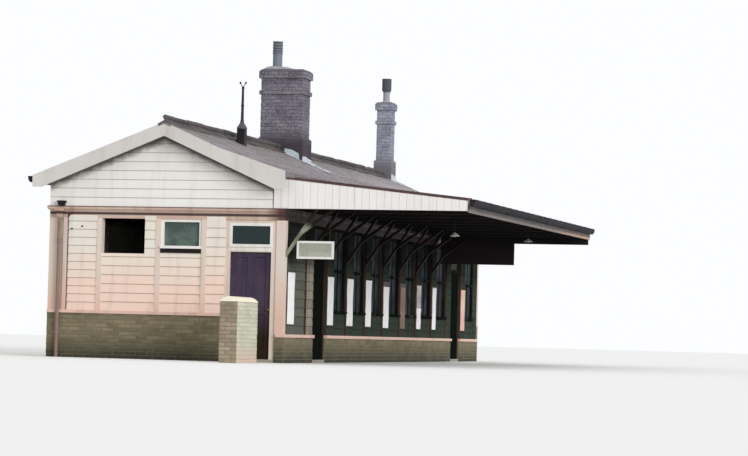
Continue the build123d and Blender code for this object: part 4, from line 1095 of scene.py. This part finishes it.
# %% [markdown]
# ## Standing seams of the deck
# The canopy's sheet covering is folded up into standing seams that run down the fall and keep the
# rain out of the joints. A seam is a low trapezium run along Y, tilted to the deck and repeated.

# %% Standing seams of the deck
seam_profile = [(-0.014, 0.0), (0.014, 0.0), (0.006, 0.026), (-0.006, 0.026)]
seam = prism(seam_profile, 0.0, slope_length - 0.06, axis="y")
tilt = math.pi + math.atan2(CANOPY_FALL, CANOPY_DEPTH)
seam.transform(Matrix.Rotation(tilt, 4, "X") @ Matrix.Scale(-1, 4, Vector((0, 0, 1))))
seam.flip_normals()
seam_head = EAVE_FRONT - 0.02
first_seam = (X_NEAR + 0.3, seam_head, canopy_under(seam_head) + DECK)
piece("deck_seams", [row_of(seam, deck_sheet, 21, first_seam, (0.59, 0.0, 0.0), Seed=2)])

# %% [markdown]
# ## Slates
# The roof is slated in courses of about 200 mm, with half a slate's shift from row to row. On the
# real roof each slate is thin, slightly uneven, and a little different in colour. The courses
# tree lays them on three planes: the back slope, and the front slope above and below its break.

# %% Slates on the three planes
slating = {"Start": X_NEAR - VERGE, "End": X_FAR + VERGE, "Low": 0.0, "Gauge": 0.2, "Length": 0.254,
           "Joint": 0.005, "Butt": 0.014, "Tip": 0.005, "Bond": 0.5, "Ragged": 0.006, "Uneven": 0.9}


def slate_plane(y_low, y_high, seed):
    """Slates on one plane of the roof, from its lower line to its upper line."""
    foot = Vector((0, y_low, roof_top(y_low)))
    climb = Vector((0, y_high, roof_top(y_high))) - foot
    length = climb.length
    climb.normalize()
    normal = Vector((0, -climb.z, climb.y)) if climb.y > 0 else Vector((0, climb.z, -climb.y))
    mesh = grow(courses, dict(slating, High=length, Seed=seed), slate_finish)
    return lay(mesh, foot, (1, 0, 0), normal, climb)


planes = ((EAVE_BACK, 0.0, 21), (EAVE_FRONT, -BREAK, 22), (-BREAK, 0.0, 23))
piece("slates", [slate_plane(*plane) for plane in planes])

# %% [markdown]
# ## Ridge tiles
# The ridge is capped with separate tiles under half a metre long, each with a roll on its crest.
# They have settled, so the crest is not a straight line. One tile is modelled as a profile run
# along X, and the row tree repeats it in the three lengths that the stacks leave.

# %% Ridge tiles
BIG_FOOT, BIG_HALF, BIG_TOP = (-1.047, -0.357), 0.47, 6.38
SMALL_FOOT, SMALL_HALF, SMALL_TOP = (7.797, 8.247), 0.18, 6.45
FOOT_STEP = 0.045
RIDGE_END, TILE = 8.647, 0.46


def ridge_profile():
    """The outline of a ridge tile in Y and Z: two legs and a roll."""
    leg, cover, lift = 0.15, 0.020, 0.018
    shoulder = RIDGE + lift + cover + 0.012
    points = [(-leg, roof_top(-leg) + lift), (0.0, RIDGE + lift), (leg, roof_top(leg) + lift),
              (leg, roof_top(leg) + lift + cover), (0.022, shoulder)]
    centre, radius = RIDGE + 0.112, 0.046
    for step in range(11):
        angle = math.radians(-60 + 30 * step)
        points.append((radius * math.cos(angle), centre + radius * math.sin(angle)))
    return points + [(-0.022, shoulder), (-leg, roof_top(-leg) + lift + cover)]


ridge_meshes = []
runs = ((-RIDGE_END, BIG_FOOT[0]), (BIG_FOOT[1], SMALL_FOOT[0]), (SMALL_FOOT[1], RIDGE_END))
for number, (start, end) in enumerate(runs):
    count = max(1, round((end - start) / TILE))
    step = (end - start) / count
    tile = prism(ridge_profile(), 0.004, step - 0.004)
    ridge_meshes.append(row_of(tile, ridge_finish, count, (start, 0.0, 0.0), (step, 0.0, 0.0),
                               Lift=0.008, Turn=0.0012, Seed=30 + number))
ridge = piece("ridge_tile_row", ridge_meshes)
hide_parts("ridge_tiles")

# %% [markdown]
# ## Brickwork of the stacks
# Both stacks are built of dark brick in courses of 75 mm, with a thicker foot, a string course, a
# neck and an oversailing cap. The CAD stack is the mortar, and the courses tree lays the brick
# faces a few millimetres proud of it, shifted half a brick from course to course.

# %% Bricks of the stacks
brickwork = {"Gauge": 0.075, "Length": 0.235, "Joint": 0.01, "Butt": 0.007, "Tip": 0.007, "Bond": 0.5,
             "Ragged": 0.004, "Uneven": 0.8, "Pillow": 0.0025, "Facets": 4}
WRAP, UNDER_SLATES, SPLAY, CAP_BED = 0.006, 4.3, 0.04, 0.045
CAP_HEIGHT, NECK_HEIGHT, STRING_HEIGHT, STRING_STEP = 0.2, 0.27, 0.085, 0.035


def brick_faces(x0, x1, y0, y1, low, high, finish, seed, sides="xXyY", wrap=0.0):
    """Brick courses on upright faces of a box: small letters for the sides at x0 and y0, capitals for
    those at x1 and y1. Wrap runs the courses of the sides at x0 and x1 past the corners."""
    meshes = []
    for number, side in enumerate(sides):
        stand, start, end = (on_gable, y0 - wrap, y1 + wrap) if side in "xX" else (on_long_wall, x0, x1)
        sizes = dict(brickwork, Low=low, High=high, Start=start, End=end, Seed=seed + number)
        face = {"x": x0, "X": x1, "y": y0, "Y": y1}[side]
        meshes.append(stand(grow(courses, sizes, finish), 1 if side.isupper() else -1, face))
    return meshes


def stack_bricks(foot, half, top, foot_top, finish, seed):
    """All the brick faces of one stack, zone by zone: foot, shaft, string course, neck and cap."""
    cap = top - CAP_HEIGHT
    string = cap - NECK_HEIGHT
    shaft = string - STRING_HEIGHT
    zones = [(UNDER_SLATES, foot_top - SPLAY, FOOT_STEP), (foot_top, shaft, 0.0),
             (shaft, string, STRING_STEP), (string, cap, 0.0), (cap, top - CAP_BED, FOOT_STEP)]
    meshes = []
    for number, (low, high, out_by) in enumerate(zones):
        x0, x1 = foot[0] + FOOT_STEP - out_by, foot[1] - FOOT_STEP + out_by
        meshes += brick_faces(x0, x1, -half - out_by, half + out_by, low, high, finish, seed + 10 * number,
                              wrap=WRAP)
    return meshes


big_bricks = stack_bricks(BIG_FOOT, BIG_HALF, BIG_TOP, 4.885, big_stack_brick, 100)
small_bricks = stack_bricks(SMALL_FOOT, SMALL_HALF, SMALL_TOP, 5.0, small_stack_brick, 200)
piece("big_stack_bricks", big_bricks)
piece("small_stack_bricks", small_bricks)

# %% [markdown]
# ## Brickwork of the plinth
# The building stands on a low brick plinth, stained by splashes near the ground. It is higher
# under the gables and the corner posts than along the walls, and it stops at each doorway.

# %% Bricks of the plinth
near_corner, far_corner = X_NEAR + CORNER_POST, X_FAR - CORNER_POST
front_doors = [opening(number) for number in DOOR_BAYS]
back_door = opening(BACK_DOORS[0])
plinth_faces = [
    (X_NEAR, X_FAR, -1.2, Y_BACK, GABLE_PLINTH, 300, "x"),
    (X_NEAR, X_FAR, Y_FRONT, -2.23, SIDE_PLINTH, 310, "x"),
    (X_NEAR, X_FAR, Y_FRONT, Y_BACK, GABLE_PLINTH, 320, "X"),
    (X_NEAR, front_doors[0][0], Y_FRONT, Y_BACK, SIDE_PLINTH, 330, "y"),
    (front_doors[0][1], front_doors[1][0], Y_FRONT, Y_BACK, SIDE_PLINTH, 331, "y"),
    (front_doors[1][1], far_corner, Y_FRONT, Y_BACK, SIDE_PLINTH, 332, "y"),
    (near_corner, back_door[0], Y_FRONT, Y_BACK, SIDE_PLINTH, 340, "Y"),
    (back_door[1], far_corner, Y_FRONT, Y_BACK, SIDE_PLINTH, 341, "Y"),
    (X_NEAR, near_corner, Y_FRONT, Y_BACK, GABLE_PLINTH, 346, "Y"),
    (far_corner, X_FAR, Y_FRONT, Y_BACK, GABLE_PLINTH, 346, "yY"),
]
plinth_meshes = []
for x0, x1, y0, y1, top, seed, sides in plinth_faces:
    plinth_meshes += brick_faces(x0, x1, y0, y1, 0.0, top, plinth_brick, seed, sides)
piece("plinth_bricks", plinth_meshes)

# %% [markdown]
# ## Brickwork of the screen wall
# The low screen before the side door is brown brick on its ends and limewashed on its long faces.
# It takes the place of the plain CAD screen, so its mortar core is made here too, a little inside
# the CAD faces, with the bricks laid back out to them.

# %% Bricks of the screen wall
screen_low, screen_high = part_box("screen_wall")
SET_BACK = 0.0105
x0, x1 = screen_low.x + SET_BACK, screen_high.x - SET_BACK
y0, y1 = screen_low.y + SET_BACK, screen_high.y - SET_BACK
core = prism(rectangle(y0, y1, 0.0, screen_high.z), x0, x1)
for finish in (plinth_mortar, lime_mortar):
    core.materials.append(finish)
for face in core.polygons:
    face.material_index = int(abs(face.normal.y) > 0.5)
screen_meshes = [core] + brick_faces(x0, x1, y0, y1, 0.0, screen_high.z, screen_brick, 350, "xX", wrap=WRAP)
screen_meshes += brick_faces(x0, x1, y0, y1, 0.0, screen_high.z, lime_brick, 360, "yY")
screen_bricks = piece("screen_brickwork", screen_meshes)
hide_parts("screen_wall")

# %% [markdown]
# ## Lead on the slates
# Where a stack comes through the slates, the joint is covered with lead and patched with mortar,
# which shows as pale marks. A flashing is a thin sheet that follows the slope, so it is modelled
# as a small grid whose heights come from the roof itself, with a ragged outer edge.

# %% Flashings
def grid_faces(columns, rows):
    """The quads of a grid of corners, and the pairs of corners round its edge."""
    quads = [(i * rows + j, (i + 1) * rows + j, (i + 1) * rows + j + 1, i * rows + j + 1)
             for i in range(columns - 1) for j in range(rows - 1)]
    ring = [i * rows for i in range(columns)] + [(columns - 1) * rows + j for j in range(1, rows)]
    ring += [i * rows + rows - 1 for i in range(columns - 2, -1, -1)] + list(range(rows - 2, 0, -1))
    return quads, list(zip(ring, ring[1:] + ring[:1]))


def sheet_faces(columns, rows):
    """Faces of a closed sheet made of two grids, the lower one first."""
    size = columns * rows
    quads, edge = grid_faces(columns, rows)
    faces = [quad[::-1] for quad in quads] + [tuple(size + corner for corner in quad) for quad in quads]
    return faces + [(a, b, size + b, size + a) for a, b in edge]


def flashing(x0, x1, y0, y1, seed, ragged=0.02, count=9):
    """A thin sheet on the slates between two corners, with an uneven outline."""
    shake = random.Random(seed)
    corners = []
    for layer in (0.017, 0.021):
        shake.seed(seed)
        for i in range(count):
            for j in range(count):
                on_edge = i in (0, count - 1) or j in (0, count - 1)
                dx, dy = (shake.uniform(-ragged, ragged) * on_edge for _ in range(2))
                x = x0 + (x1 - x0) * i / (count - 1) + dx
                y = y0 + (y1 - y0) * j / (count - 1) + dy
                corners.append((x, y, roof_top(y) + layer + shake.uniform(0, 0.003)))
    return plain_mesh("flashing", corners, sheet_faces(count, count), lead_sheet)


big_near, big_far, small_near = *BIG_FOOT, SMALL_FOOT[0]
lead_places = [
    (big_near - 0.15, big_near, -0.62, -0.17), (-1.06, -0.34, -0.78, -0.515),
    (big_far, big_far + 0.15, -0.6, -0.17), (-1.06, -0.34, 0.515, 0.68),
    (big_near - 0.13, big_near, 0.17, 0.6), (-0.9, -0.25, -1.02, -0.82),
    (small_near - 0.14, small_near, -0.36, -0.16), (7.8, 8.25, -0.5, -0.225), (7.8, 8.25, 0.225, 0.36),
]
TORN_ONE = 6
lead = []
for seed, corners in enumerate(lead_places, 1):
    lead.append(flashing(*corners, seed, 0.05 if seed == TORN_ONE else 0.02))
print("flashings", len(lead))

# %% [markdown]
# ## Lead turned up against the stacks
# On the near and front faces of the big stack, and on the front of the small one, the lead is
# dressed up against the brickwork. Each upstand is a 4 mm prism with an uneven top and a foot that
# follows the slates.

# %% Upstands of the lead
def upstand(axis, face, outline):
    """Lead turned up against a near or front face of a stack: a thin sheet with an outline."""
    return prism(outline, face - 0.004, face, lead_sheet, axis)


def over_slates(y0, y1, lift):
    """Points of the slates' line between two places, lifted by an amount."""
    return [(y, roof_top(y) + lift) for y in (y0, (y0 + y1) / 2, y1)]


def front_outline(y, points):
    """Points along a front face, each with its height over the slates there."""
    return [(x, roof_top(y) + lift) for x, lift in points]


PROUD = FOOT_STEP + 0.009
near_face, front_face, small_face = BIG_FOOT[0] - 0.009, -BIG_HALF - PROUD, -SMALL_HALF - PROUD
near_outline = over_slates(-0.10, -0.46, 0.012) + [(-0.44, 4.52), (-0.28, 4.60), (-0.12, 4.63)]
big_outline = front_outline(front_face, [(-1.05, 0.012), (-0.36, 0.012), (-0.36, 0.08), (-0.6, 0.10),
                                         (-0.8, 0.13), (-1.05, 0.12)])
small_outline = front_outline(small_face, [(7.80, 0.012), (8.24, 0.012), (8.24, 0.13), (7.80, 0.18)])
lead += [upstand("x", near_face, near_outline), upstand("y", front_face, big_outline),
         upstand("y", small_face, small_outline)]
piece("stack_flashings", lead)

# %% [markdown]
# ## Paper bills
# Blank bills are pasted on the boards of the platform wall. A sheet of paper is never quite flat,
# so each one is a fine grid whose face swells a few millimetres and lifts at one corner. Sizes and
# heights differ from board to board.

# %% Bills on the platform wall
def bill(middle, width, low, high, finish, seed, columns=9, rows=17):
    """One slightly buckled sheet on the platform wall."""
    shake = random.Random(seed)
    swell, lift, phase = shake.uniform(0.001, 0.003), shake.uniform(0.003, 0.007), shake.uniform(0, 6)
    corners = []
    for layer in (0.0015, 0.0005):
        for i in range(columns):
            for j in range(rows):
                a, b = i / (columns - 1), j / (rows - 1)
                wave = swell * (1 + math.sin(9 * b + phase + 2 * a)) + lift * max(0.0, a + b - 1.55) ** 2 * 6
                y = Y_FRONT + 0.003 - layer - wave
                corners.append((middle + width * (a - 0.5), y, low + (high - low) * b))
    return plain_mesh("bill", corners, [face[::-1] for face in sheet_faces(columns, rows)], finish)


bills = [(0, 0.45, 0.748, 1.742, white_bill), (2, 0.44, 0.76, 1.73, white_bill),
         (3, 0.46, 0.76, 1.73, white_bill), (4, 0.45, 0.76, 1.74, white_bill),
         (5, 0.46, 0.745, 1.64, white_bill), (6, 0.42, 0.745, 1.66, brown_bill),
         (7, 0.38, 0.75, 1.22, white_bill), (7, 0.38, 1.22, 1.74, grey_bill),
         (8, 0.34, 0.75, 1.72, white_bill), (10, 0.43, 0.75, 1.74, pink_bill)]
sheets = []
for seed, (bay, width, low, high, finish) in enumerate(bills, 50):
    middle = bay_clear(bay)[0] + (PIER / 2 if bay else 0.29)
    sheets.append(bill(middle, width, low, high, finish, seed))
piece("paper_bills", sheets)

# %% [markdown]
# ## Glazing bars
# Each sash of the long walls has one slim upright bar, planed from the same timber as the sash. A
# bar is a rectangular prism, and the row tree repeats it bay by bay where windows follow each other.

# %% Glazing bars
HALF_WIDE, HALF_DEEP, BEHIND_FACE = 0.011, 0.014, 0.045


def bar_row(side, first, count, low, high):
    """A run of upright glazing bars, one bay apart."""
    face = Y_FRONT + BOARD_RECESS if side < 0 else Y_BACK - BOARD_RECESS
    middle = face - side * BEHIND_FACE
    outline = rectangle(-HALF_WIDE, HALF_WIDE, middle - HALF_DEEP, middle + HALF_DEEP)
    start = (sum(opening(first)) / 2, 0.0, 0.0)
    return row_of(prism(outline, low, high, axis="z"), sash_paint, count, start, (BAY, 0.0, 0.0), Seed=3)


bar_heights = ((1.055, 1.8325), (1.8875, 2.665))
bar_runs = [(-1, 2, 7), (-1, 10, 1)] + [(1, number, 1) for number in BACK_WINDOWS]
bars = [bar_row(*run, low, high) for run in bar_runs for low, high in bar_heights]
piece("glazing_bars", bars)

# %% [markdown]
# ## Beads of the side door
# The side door's sunk panels are edged with a planted bead, mitred at its corners. Each is a
# triangular strip in a closed ring of four sides, and it rides with the door when that opens.

# %% Beads round the door's panels
def bead(x, side, y0, y1, z0, z1):
    """A triangular bead round a sunk panel of the side door, standing towards one side."""
    corners = []
    for inset, out_by in ((0.0, 0.0), (0.009, 0.006), (0.018, -0.004)):
        outline = rectangle(y0 + inset, y1 - inset, z0 + inset, z1 - inset)
        corners += [(x + side * out_by, a, b) for a, b in outline]
    faces = []
    for ring in range(3):
        here, there = ring * 4, (ring + 1) % 3 * 4
        faces += [(here + k, here + (k + 1) % 4, there + (k + 1) % 4, there + k) for k in range(4)]
    return plain_mesh("bead", corners, faces if side < 0 else [face[::-1] for face in faces], door_paint)


leaf_low, leaf_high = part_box("gents_door")
leaf_width, leaf_height = leaf_high.y - leaf_low.y, leaf_high.z - leaf_low.z
RAIL, MUNTIN, FOOT_RAIL = 0.11, 0.055, 0.175
lock = leaf_height * 0.42
panel_heights = ((FOOT_RAIL, lock), (lock + RAIL, leaf_height - RAIL))
panel_widths = ((RAIL, leaf_width / 2 - MUNTIN), (leaf_width / 2 + MUNTIN, leaf_width - RAIL))
beads = []
for x, side in ((leaf_low.x, -1), (leaf_high.x, 1)):
    for z0, z1 in panel_heights:
        beads += [bead(x, side, leaf_low.y + y0, leaf_low.y + y1, leaf_low.z + z0, leaf_low.z + z1)
                  for y0, y1 in panel_widths]
piece("side_door_beads", beads, body="gents_door")

# %% [markdown]
# ## Small timber of the near gable
# A dark board closes the gap under the gable window, its near-black a painted shade under the sill. A curved
# bracket, cut from one board, fills the upper corner of the back panel's frame, and a thin strip edges that
# panel below it;
# both are dark maroon as painted shade in that corner and along the panel's edge.

# %% Dark board under the gable window and the curved corner of the back panel
# Near-black as painted shade under the window's sill
apron = prism(rectangle(-0.72, 0.11, 2.065, 2.148), X_NEAR - 0.012, X_NEAR + 0.024, painted_shade_timber)
piece("gable_window_apron", [apron])
radius, head_top, panel_edge = 0.12, 2.80, 2.022
curve = [(panel_edge - radius * (1 - math.sin(a)), head_top - radius * (1 - math.cos(a)))
         for a in [math.radians(9 * k) for k in range(11)]]
# Dark maroon as painted shade in the panel's corner and along its edge
spandrel = prism(curve + [(panel_edge, head_top)], X_NEAR - 0.018, X_NEAR + 0.001, bill_board_paint)
edge_strip = prism(rectangle(panel_edge - 0.004, panel_edge + 0.006, GABLE_SILL + 0.005, head_top),
                   X_NEAR - 0.008, X_NEAR + 0.02, bill_board_paint)
piece("corner_spandrel", [spandrel, edge_strip])

# %% [markdown]
# ## Gutter collars
# Cast gutters come in six-foot lengths that join in a thicker collar. The row tree repeats one
# collar, shaped as the gutter's own section grown by a few millimetres, along each gutter.

# %% Gutter collars
def collar(y, z, side):
    """A short collar round the flat-backed gutter section."""
    w, d, g, t = 0.112 * side, 0.12, 0.006, 0.004 * side
    outer = [(y, z), (y, z - d - g), (y + w * 0.55 + side * g / 2, z - d - g),
             (y + w * 0.88 + side * g, z - d * 0.66 - g), (y + w, z)]
    inner = [(y + w - t, z), (y + w * 0.88 - t, z - d * 0.62), (y + w * 0.52, z - d + g),
             (y + side * g, z - d + g), (y + side * g, z)]
    return prism(outer + inner, -0.05, 0.05)


SIX_FEET = (1.83, 0.0, 0.0)
fascia_low, fascia_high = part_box("canopy_fascia")
canopy_collar = collar(fascia_low.y, fascia_high.z - 0.008, -1)
back_collar = collar(EAVE_BACK, roof_top(EAVE_BACK) - 0.008, 1)
collars = [row_of(canopy_collar, cast_iron, 6, (X_NEAR + 1.55, 0.0, 0.0), SIX_FEET, Seed=6),
           row_of(back_collar, cast_iron, 9, (X_NEAR + 0.9, 0.0, 0.0), SIX_FEET, Seed=7)]
piece("gutter_collars", collars)

# %% [markdown]
# ## Pipe sockets
# Rainwater pipes are cast in lengths that drop into a socket with a lip. A socket is a turned
# shape, so a small helper turns a closed profile round an upright axis. The row tree repeats it.

# %% Pipe sockets
def turned(x, y, z, profile, finish=None, turns=20):
    """A closed profile of radius and height, turned round an upright axis."""
    angles = [2 * math.pi * k / turns for k in range(turns)]
    corners = [(x + r * math.cos(a), y + r * math.sin(a), z + h) for a in angles for r, h in profile]
    size = len(profile)
    faces = [(k * size + i, (k + 1) % turns * size + i, (k + 1) % turns * size + (i + 1) % size,
              k * size + (i + 1) % size) for k in range(turns) for i in range(size)]
    return plain_mesh("turned", corners, faces, finish)


def socket(x, y, bore):
    """A socket round a rainwater pipe: a ring with a lip."""
    wall, lip = bore + 0.008, bore + 0.014
    return turned(x, y, 0.0, [(bore, 0.0), (wall, 0.0), (wall, 0.075), (lip, 0.08), (lip, 0.1), (bore, 0.1)])


BORE, OFF_BACK_WALL, OFF_GABLE = 0.0355, 0.085, 0.076
LOWER_SOCKET, PIPE_LENGTH = (0.0, 0.0, 0.45), (0.0, 0.0, 1.75)
pipe_y = Y_BACK + OFF_BACK_WALL
pipe_places = [(X_NEAR + BAY, pipe_y), (X_NEAR + 10 * BAY, pipe_y), (X_NEAR - OFF_GABLE, 2.175)]
sockets = [row_of(socket(x, y, BORE), pipe_paint, 2, LOWER_SOCKET, PIPE_LENGTH, Seed=8)
           for x, y in pipe_places]
piece("pipe_sockets", sockets)

# %% [markdown]
# ## Vent casing and lamp conduit
# The vent's rod is a tapered tube with a bead half way up, and each prong of its fork ends in a
# small knob. The lamps hang on dark conduit. All of them are turned shapes.

# %% Vent casing and lamp conduit
vent_x, vent_y = X_NEAR + 3.69, -0.29
VENT_BASE, BELL, FORK_TOP, PRONG = 0.325, 0.165, 0.79, 0.059
bell_top = roof_top(vent_y) + VENT_BASE + BELL
tube_profile = [(0.008, -0.035), (0.046, -0.035), (0.031, 0.03), (0.028, 0.30), (0.034, 0.312),
                (0.034, 0.328), (0.027, 0.34), (0.023, 0.66), (0.030, 0.68), (0.026, 0.715), (0.008, 0.715)]
knob_profile = [(0.003, -0.026), (0.015, -0.018), (0.021, 0.0), (0.015, 0.018), (0.003, 0.026)]
casing = [turned(vent_x, vent_y, bell_top, tube_profile, vent_iron)]
for y in (vent_y - PRONG, vent_y + PRONG):
    casing.append(turned(vent_x, y, bell_top + FORK_TOP, knob_profile, vent_iron))
piece("vent_casing", casing)

sleeves = []
for x, drop in ((-3.945, 0.23), (3.45, 0.045)):
    profile = [(0.0095, 0.004), (0.022, 0.004), (0.014, 0.02), (0.014, drop - 0.002), (0.0095, drop - 0.002)]
    sleeves.append(turned(x, Y_FRONT - 2.27, FRIEZE - drop, profile, cast_iron))
piece("lamp_conduit", sleeves)

# %% [markdown]
# ## Rainwater head and coach bolts
# A cast rainwater head sits on the moulding over the pipe in the near gable: a tapered body with a
# rim. Two coach bolts with hexagonal heads show on the panel beside it.

# %% Rainwater head and coach bolts
HEAD_BACK = X_NEAR - 0.022
head_body = prism([(2.095, 2.952), (2.195, 2.952), (2.225, 3.03), (2.065, 3.03)], X_NEAR - 0.115, HEAD_BACK,
                  cast_iron)
head_rim = prism(rectangle(2.057, 2.233, 3.026, 3.046), X_NEAR - 0.122, HEAD_BACK, cast_iron)
piece("rainwater_head", [head_body, head_rim])
BOLT_RADIUS, SIXTHS = 0.017, [math.radians(60 * k) for k in range(6)]
bolts = []
for y, z in ((1.944, 2.505), (1.732, 2.554)):
    hexagon = [(y + BOLT_RADIUS * math.cos(angle), z + BOLT_RADIUS * math.sin(angle)) for angle in SIXTHS]
    bolts.append(prism(hexagon, X_NEAR - 0.008, X_NEAR + 0.018, cast_iron))
piece("panel_bolts", bolts)

# %% [markdown]
# ## Mortar mound on the big stack
# A pot is bedded in a low mound of mortar that throws the rain off the top of the stack. It is a
# grid that rises from the edges of the cap to the pot, a little uneven as a trowel leaves it.

# %% Mortar mound
def mound(x0, x1, half, pot_x, pot_y, low, rise, seed, count=17):
    """A low mound over a stack's top, highest at its pot and closed underneath."""
    shake = random.Random(seed)
    corners = []
    for i in range(count):
        for j in range(count):
            x, y = x0 + (x1 - x0) * i / (count - 1), half * (2 * j / (count - 1) - 1)
            away = min(1.0, math.hypot((x - pot_x) / 0.34, (y - pot_y) / 0.42))
            lift = 0.004 + rise * (1 - away) ** 0.5 * shake.uniform(0.9, 1.1)
            inside = i not in (0, count - 1) and j not in (0, count - 1)
            corners.append((x, y, low + lift * inside))
    quads, edge = grid_faces(count, count)
    under_pot = len(corners)
    corners.append((pot_x, pot_y, low - 0.002))
    return plain_mesh("mound", corners, quads + [(b, a, under_pot) for a, b in edge], mound_mortar)


pot_mound = mound(-1.0, -0.404, 0.468, pot_x=-0.702, pot_y=0.21, low=BIG_TOP, rise=0.098, seed=61)
piece("pot_mortar", [pot_mound])

# %% [markdown]
# ## Mortar of the verges
# The slates are bedded in mortar along both gables, which closes the gap over each bargeboard and
# is painted with it. It is three short strips on each gable, flush with the board.

# %% Verge mortar
BED_WIDTH, BED_FOOT, BED_TOP = 0.0345, -0.031, 0.011
verge_strips = []
for x0, x1 in ((X_NEAR - VERGE - BED_WIDTH, X_NEAR - VERGE), (X_FAR + VERGE, X_FAR + VERGE + BED_WIDTH)):
    for y0, y1 in ((EAVE_FRONT, -BREAK), (-BREAK, -0.13), (0.13, EAVE_BACK)):
        outline = [(y0, roof_top(y0) + BED_FOOT), (y1, roof_top(y1) + BED_FOOT), (y1, roof_top(y1) + BED_TOP),
                   (y0, roof_top(y0) + BED_TOP)]
        verge_strips.append(prism(outline, x0, x1, barge_paint))
piece("verge_mortar", verge_strips)

# %% [markdown]
# ## The blank name board
# The board hung over the platform has a white rim. Its sunk field is given a plain, weathered
# grey-green panel on both faces, with no lettering.

# %% Field of the name board
board_low, board_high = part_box("name_board")
RIM = 0.043
outline = rectangle(board_low.y + RIM, board_high.y - RIM, board_low.z + RIM, board_high.z - RIM)
fields = [prism(outline, board_low.x + 0.007, board_low.x + 0.012, blank_field),
          prism(outline, board_high.x - 0.012, board_high.x - 0.007, blank_field)]
piece("name_board_fields", fields)

# %% [markdown]
# ## The studio floor
# The studio floor is a plain pale plane. The camera sees it a little lighter than the light it
# gives back, which Light Path allows without adding light to the building.

# %% Floor
def seen_directly(tree):
    """One for the rays that show a background: camera, glossy and transmission rays."""
    rays = tree.nodes.new("ShaderNodeLightPath").outputs
    first = calc(tree, "MAXIMUM", rays["Is Camera Ray"], rays["Is Glossy Ray"])
    return calc(tree, "MAXIMUM", first, rays["Is Transmission Ray"])


def shown_or_lit(tree, lit, shown, outcome):
    """Send one shader to the rays that light the scene and another to those that show it."""
    mix = tree.nodes.new("ShaderNodeMixShader")
    feed(tree, mix.inputs[0], seen_directly(tree))
    feed(tree, mix.inputs[1], lit.outputs[0])
    feed(tree, mix.inputs[2], shown.outputs[0])
    tree.links.new(mix.outputs[0], tree.nodes[outcome].inputs["Surface"])


floor_paint, tree, surface, place = new_finish("pale studio floor")
surface.inputs["Base Color"].default_value = (0.62, 0.61, 0.58, 1)
surface.inputs["Roughness"].default_value = 0.95
lighter = tree.nodes.new("ShaderNodeBsdfDiffuse")
lighter.inputs["Color"].default_value = (0.97, 0.965, 0.95, 1)
glow = tree.nodes.new("ShaderNodeEmission")
glow.inputs["Color"].default_value = (1.0, 0.995, 0.98, 1)
glow.inputs["Strength"].default_value = 0.07
both = tree.nodes.new("ShaderNodeAddShader")
feed(tree, both.inputs[0], lighter.outputs[0])
feed(tree, both.inputs[1], glow.outputs[0])
shown_or_lit(tree, surface, both, "Material Output")

FLOOR_REACH, FLOOR_HEIGHT = 150, -0.002
square = rectangle(-FLOOR_REACH, FLOOR_REACH, -FLOOR_REACH, FLOOR_REACH)
floor_corners = [(x, y, FLOOR_HEIGHT) for x, y in square]
floor_mesh = plain_mesh("studio_floor", floor_corners, [(0, 1, 2, 3)], floor_paint)
studio_floor = bpy.data.objects.new("studio_floor", floor_mesh)
scene.collection.objects.link(studio_floor)
print("floor set")

# %% [markdown]
# ## Sky and sun
# One wide sun from the platform side and a soft sky give the plain, even light of the day. The
# camera sees the sky a little lighter than the light that it gives.

# %% Sky and sun
world = bpy.data.worlds.new("studio sky")
scene.world = world
world.use_nodes = True
soft = world.node_tree.nodes["Background"]
white = world.node_tree.nodes.new("ShaderNodeBackground")
for sky, colour, strength in ((soft, (0.96, 0.98, 1.0, 1), 0.72), (white, (0.98, 0.985, 1.0, 1), 1.0)):
    sky.inputs["Color"].default_value = colour
    sky.inputs["Strength"].default_value = strength
shown_or_lit(world.node_tree, soft, white, "World Output")

sun_data = bpy.data.lights.new("wide sun", "SUN")
sun_data.energy = 1.95
sun_data.angle = math.radians(30)
sun_data.color = (1.0, 0.985, 0.965)
sun = bpy.data.objects.new("wide sun", sun_data)
sun.rotation_euler = Vector((0.59, 0.78, -0.22)).to_track_quat("-Z", "Y").to_euler()
scene.collection.objects.link(sun)
scene.view_settings.view_transform = "Standard"
print("sky and sun set")

# %% [markdown]
# ## The camera
# The camera's place, turn and lens were worked out from the building's known sizes. It stands far
# off, low down and slightly tilted, as a hand-held one with a long lens would.

# %% Camera
CAMERA_PLACE, LENS = (-57.9624, -17.4284, 0.5463), 130.575
YAW, PITCH, ROLL = (math.radians(degrees) for degrees in (14.9888, 2.2961, 1.4793))
camera_data = bpy.data.cameras.new("camera")
camera_data.sensor_fit = "HORIZONTAL"
camera_data.sensor_width = 36.0
camera_data.lens = LENS
camera_data.clip_end = 400.0
camera = bpy.data.objects.new("camera", camera_data)
scene.collection.objects.link(camera)
forward = Vector((math.cos(YAW) * math.cos(PITCH), math.sin(YAW) * math.cos(PITCH), math.sin(PITCH)))
level_right = Vector((math.sin(YAW), -math.cos(YAW), 0))
level_up = level_right.cross(forward)
right_side = level_right * math.cos(ROLL) + level_up * math.sin(ROLL)
upper_side = level_up * math.cos(ROLL) - level_right * math.sin(ROLL)
pose = Matrix((right_side, upper_side, -forward)).transposed().to_4x4()
pose.translation = CAMERA_PLACE
camera.matrix_world = pose
scene.camera = camera
print("camera at", CAMERA_PLACE, "lens", LENS)
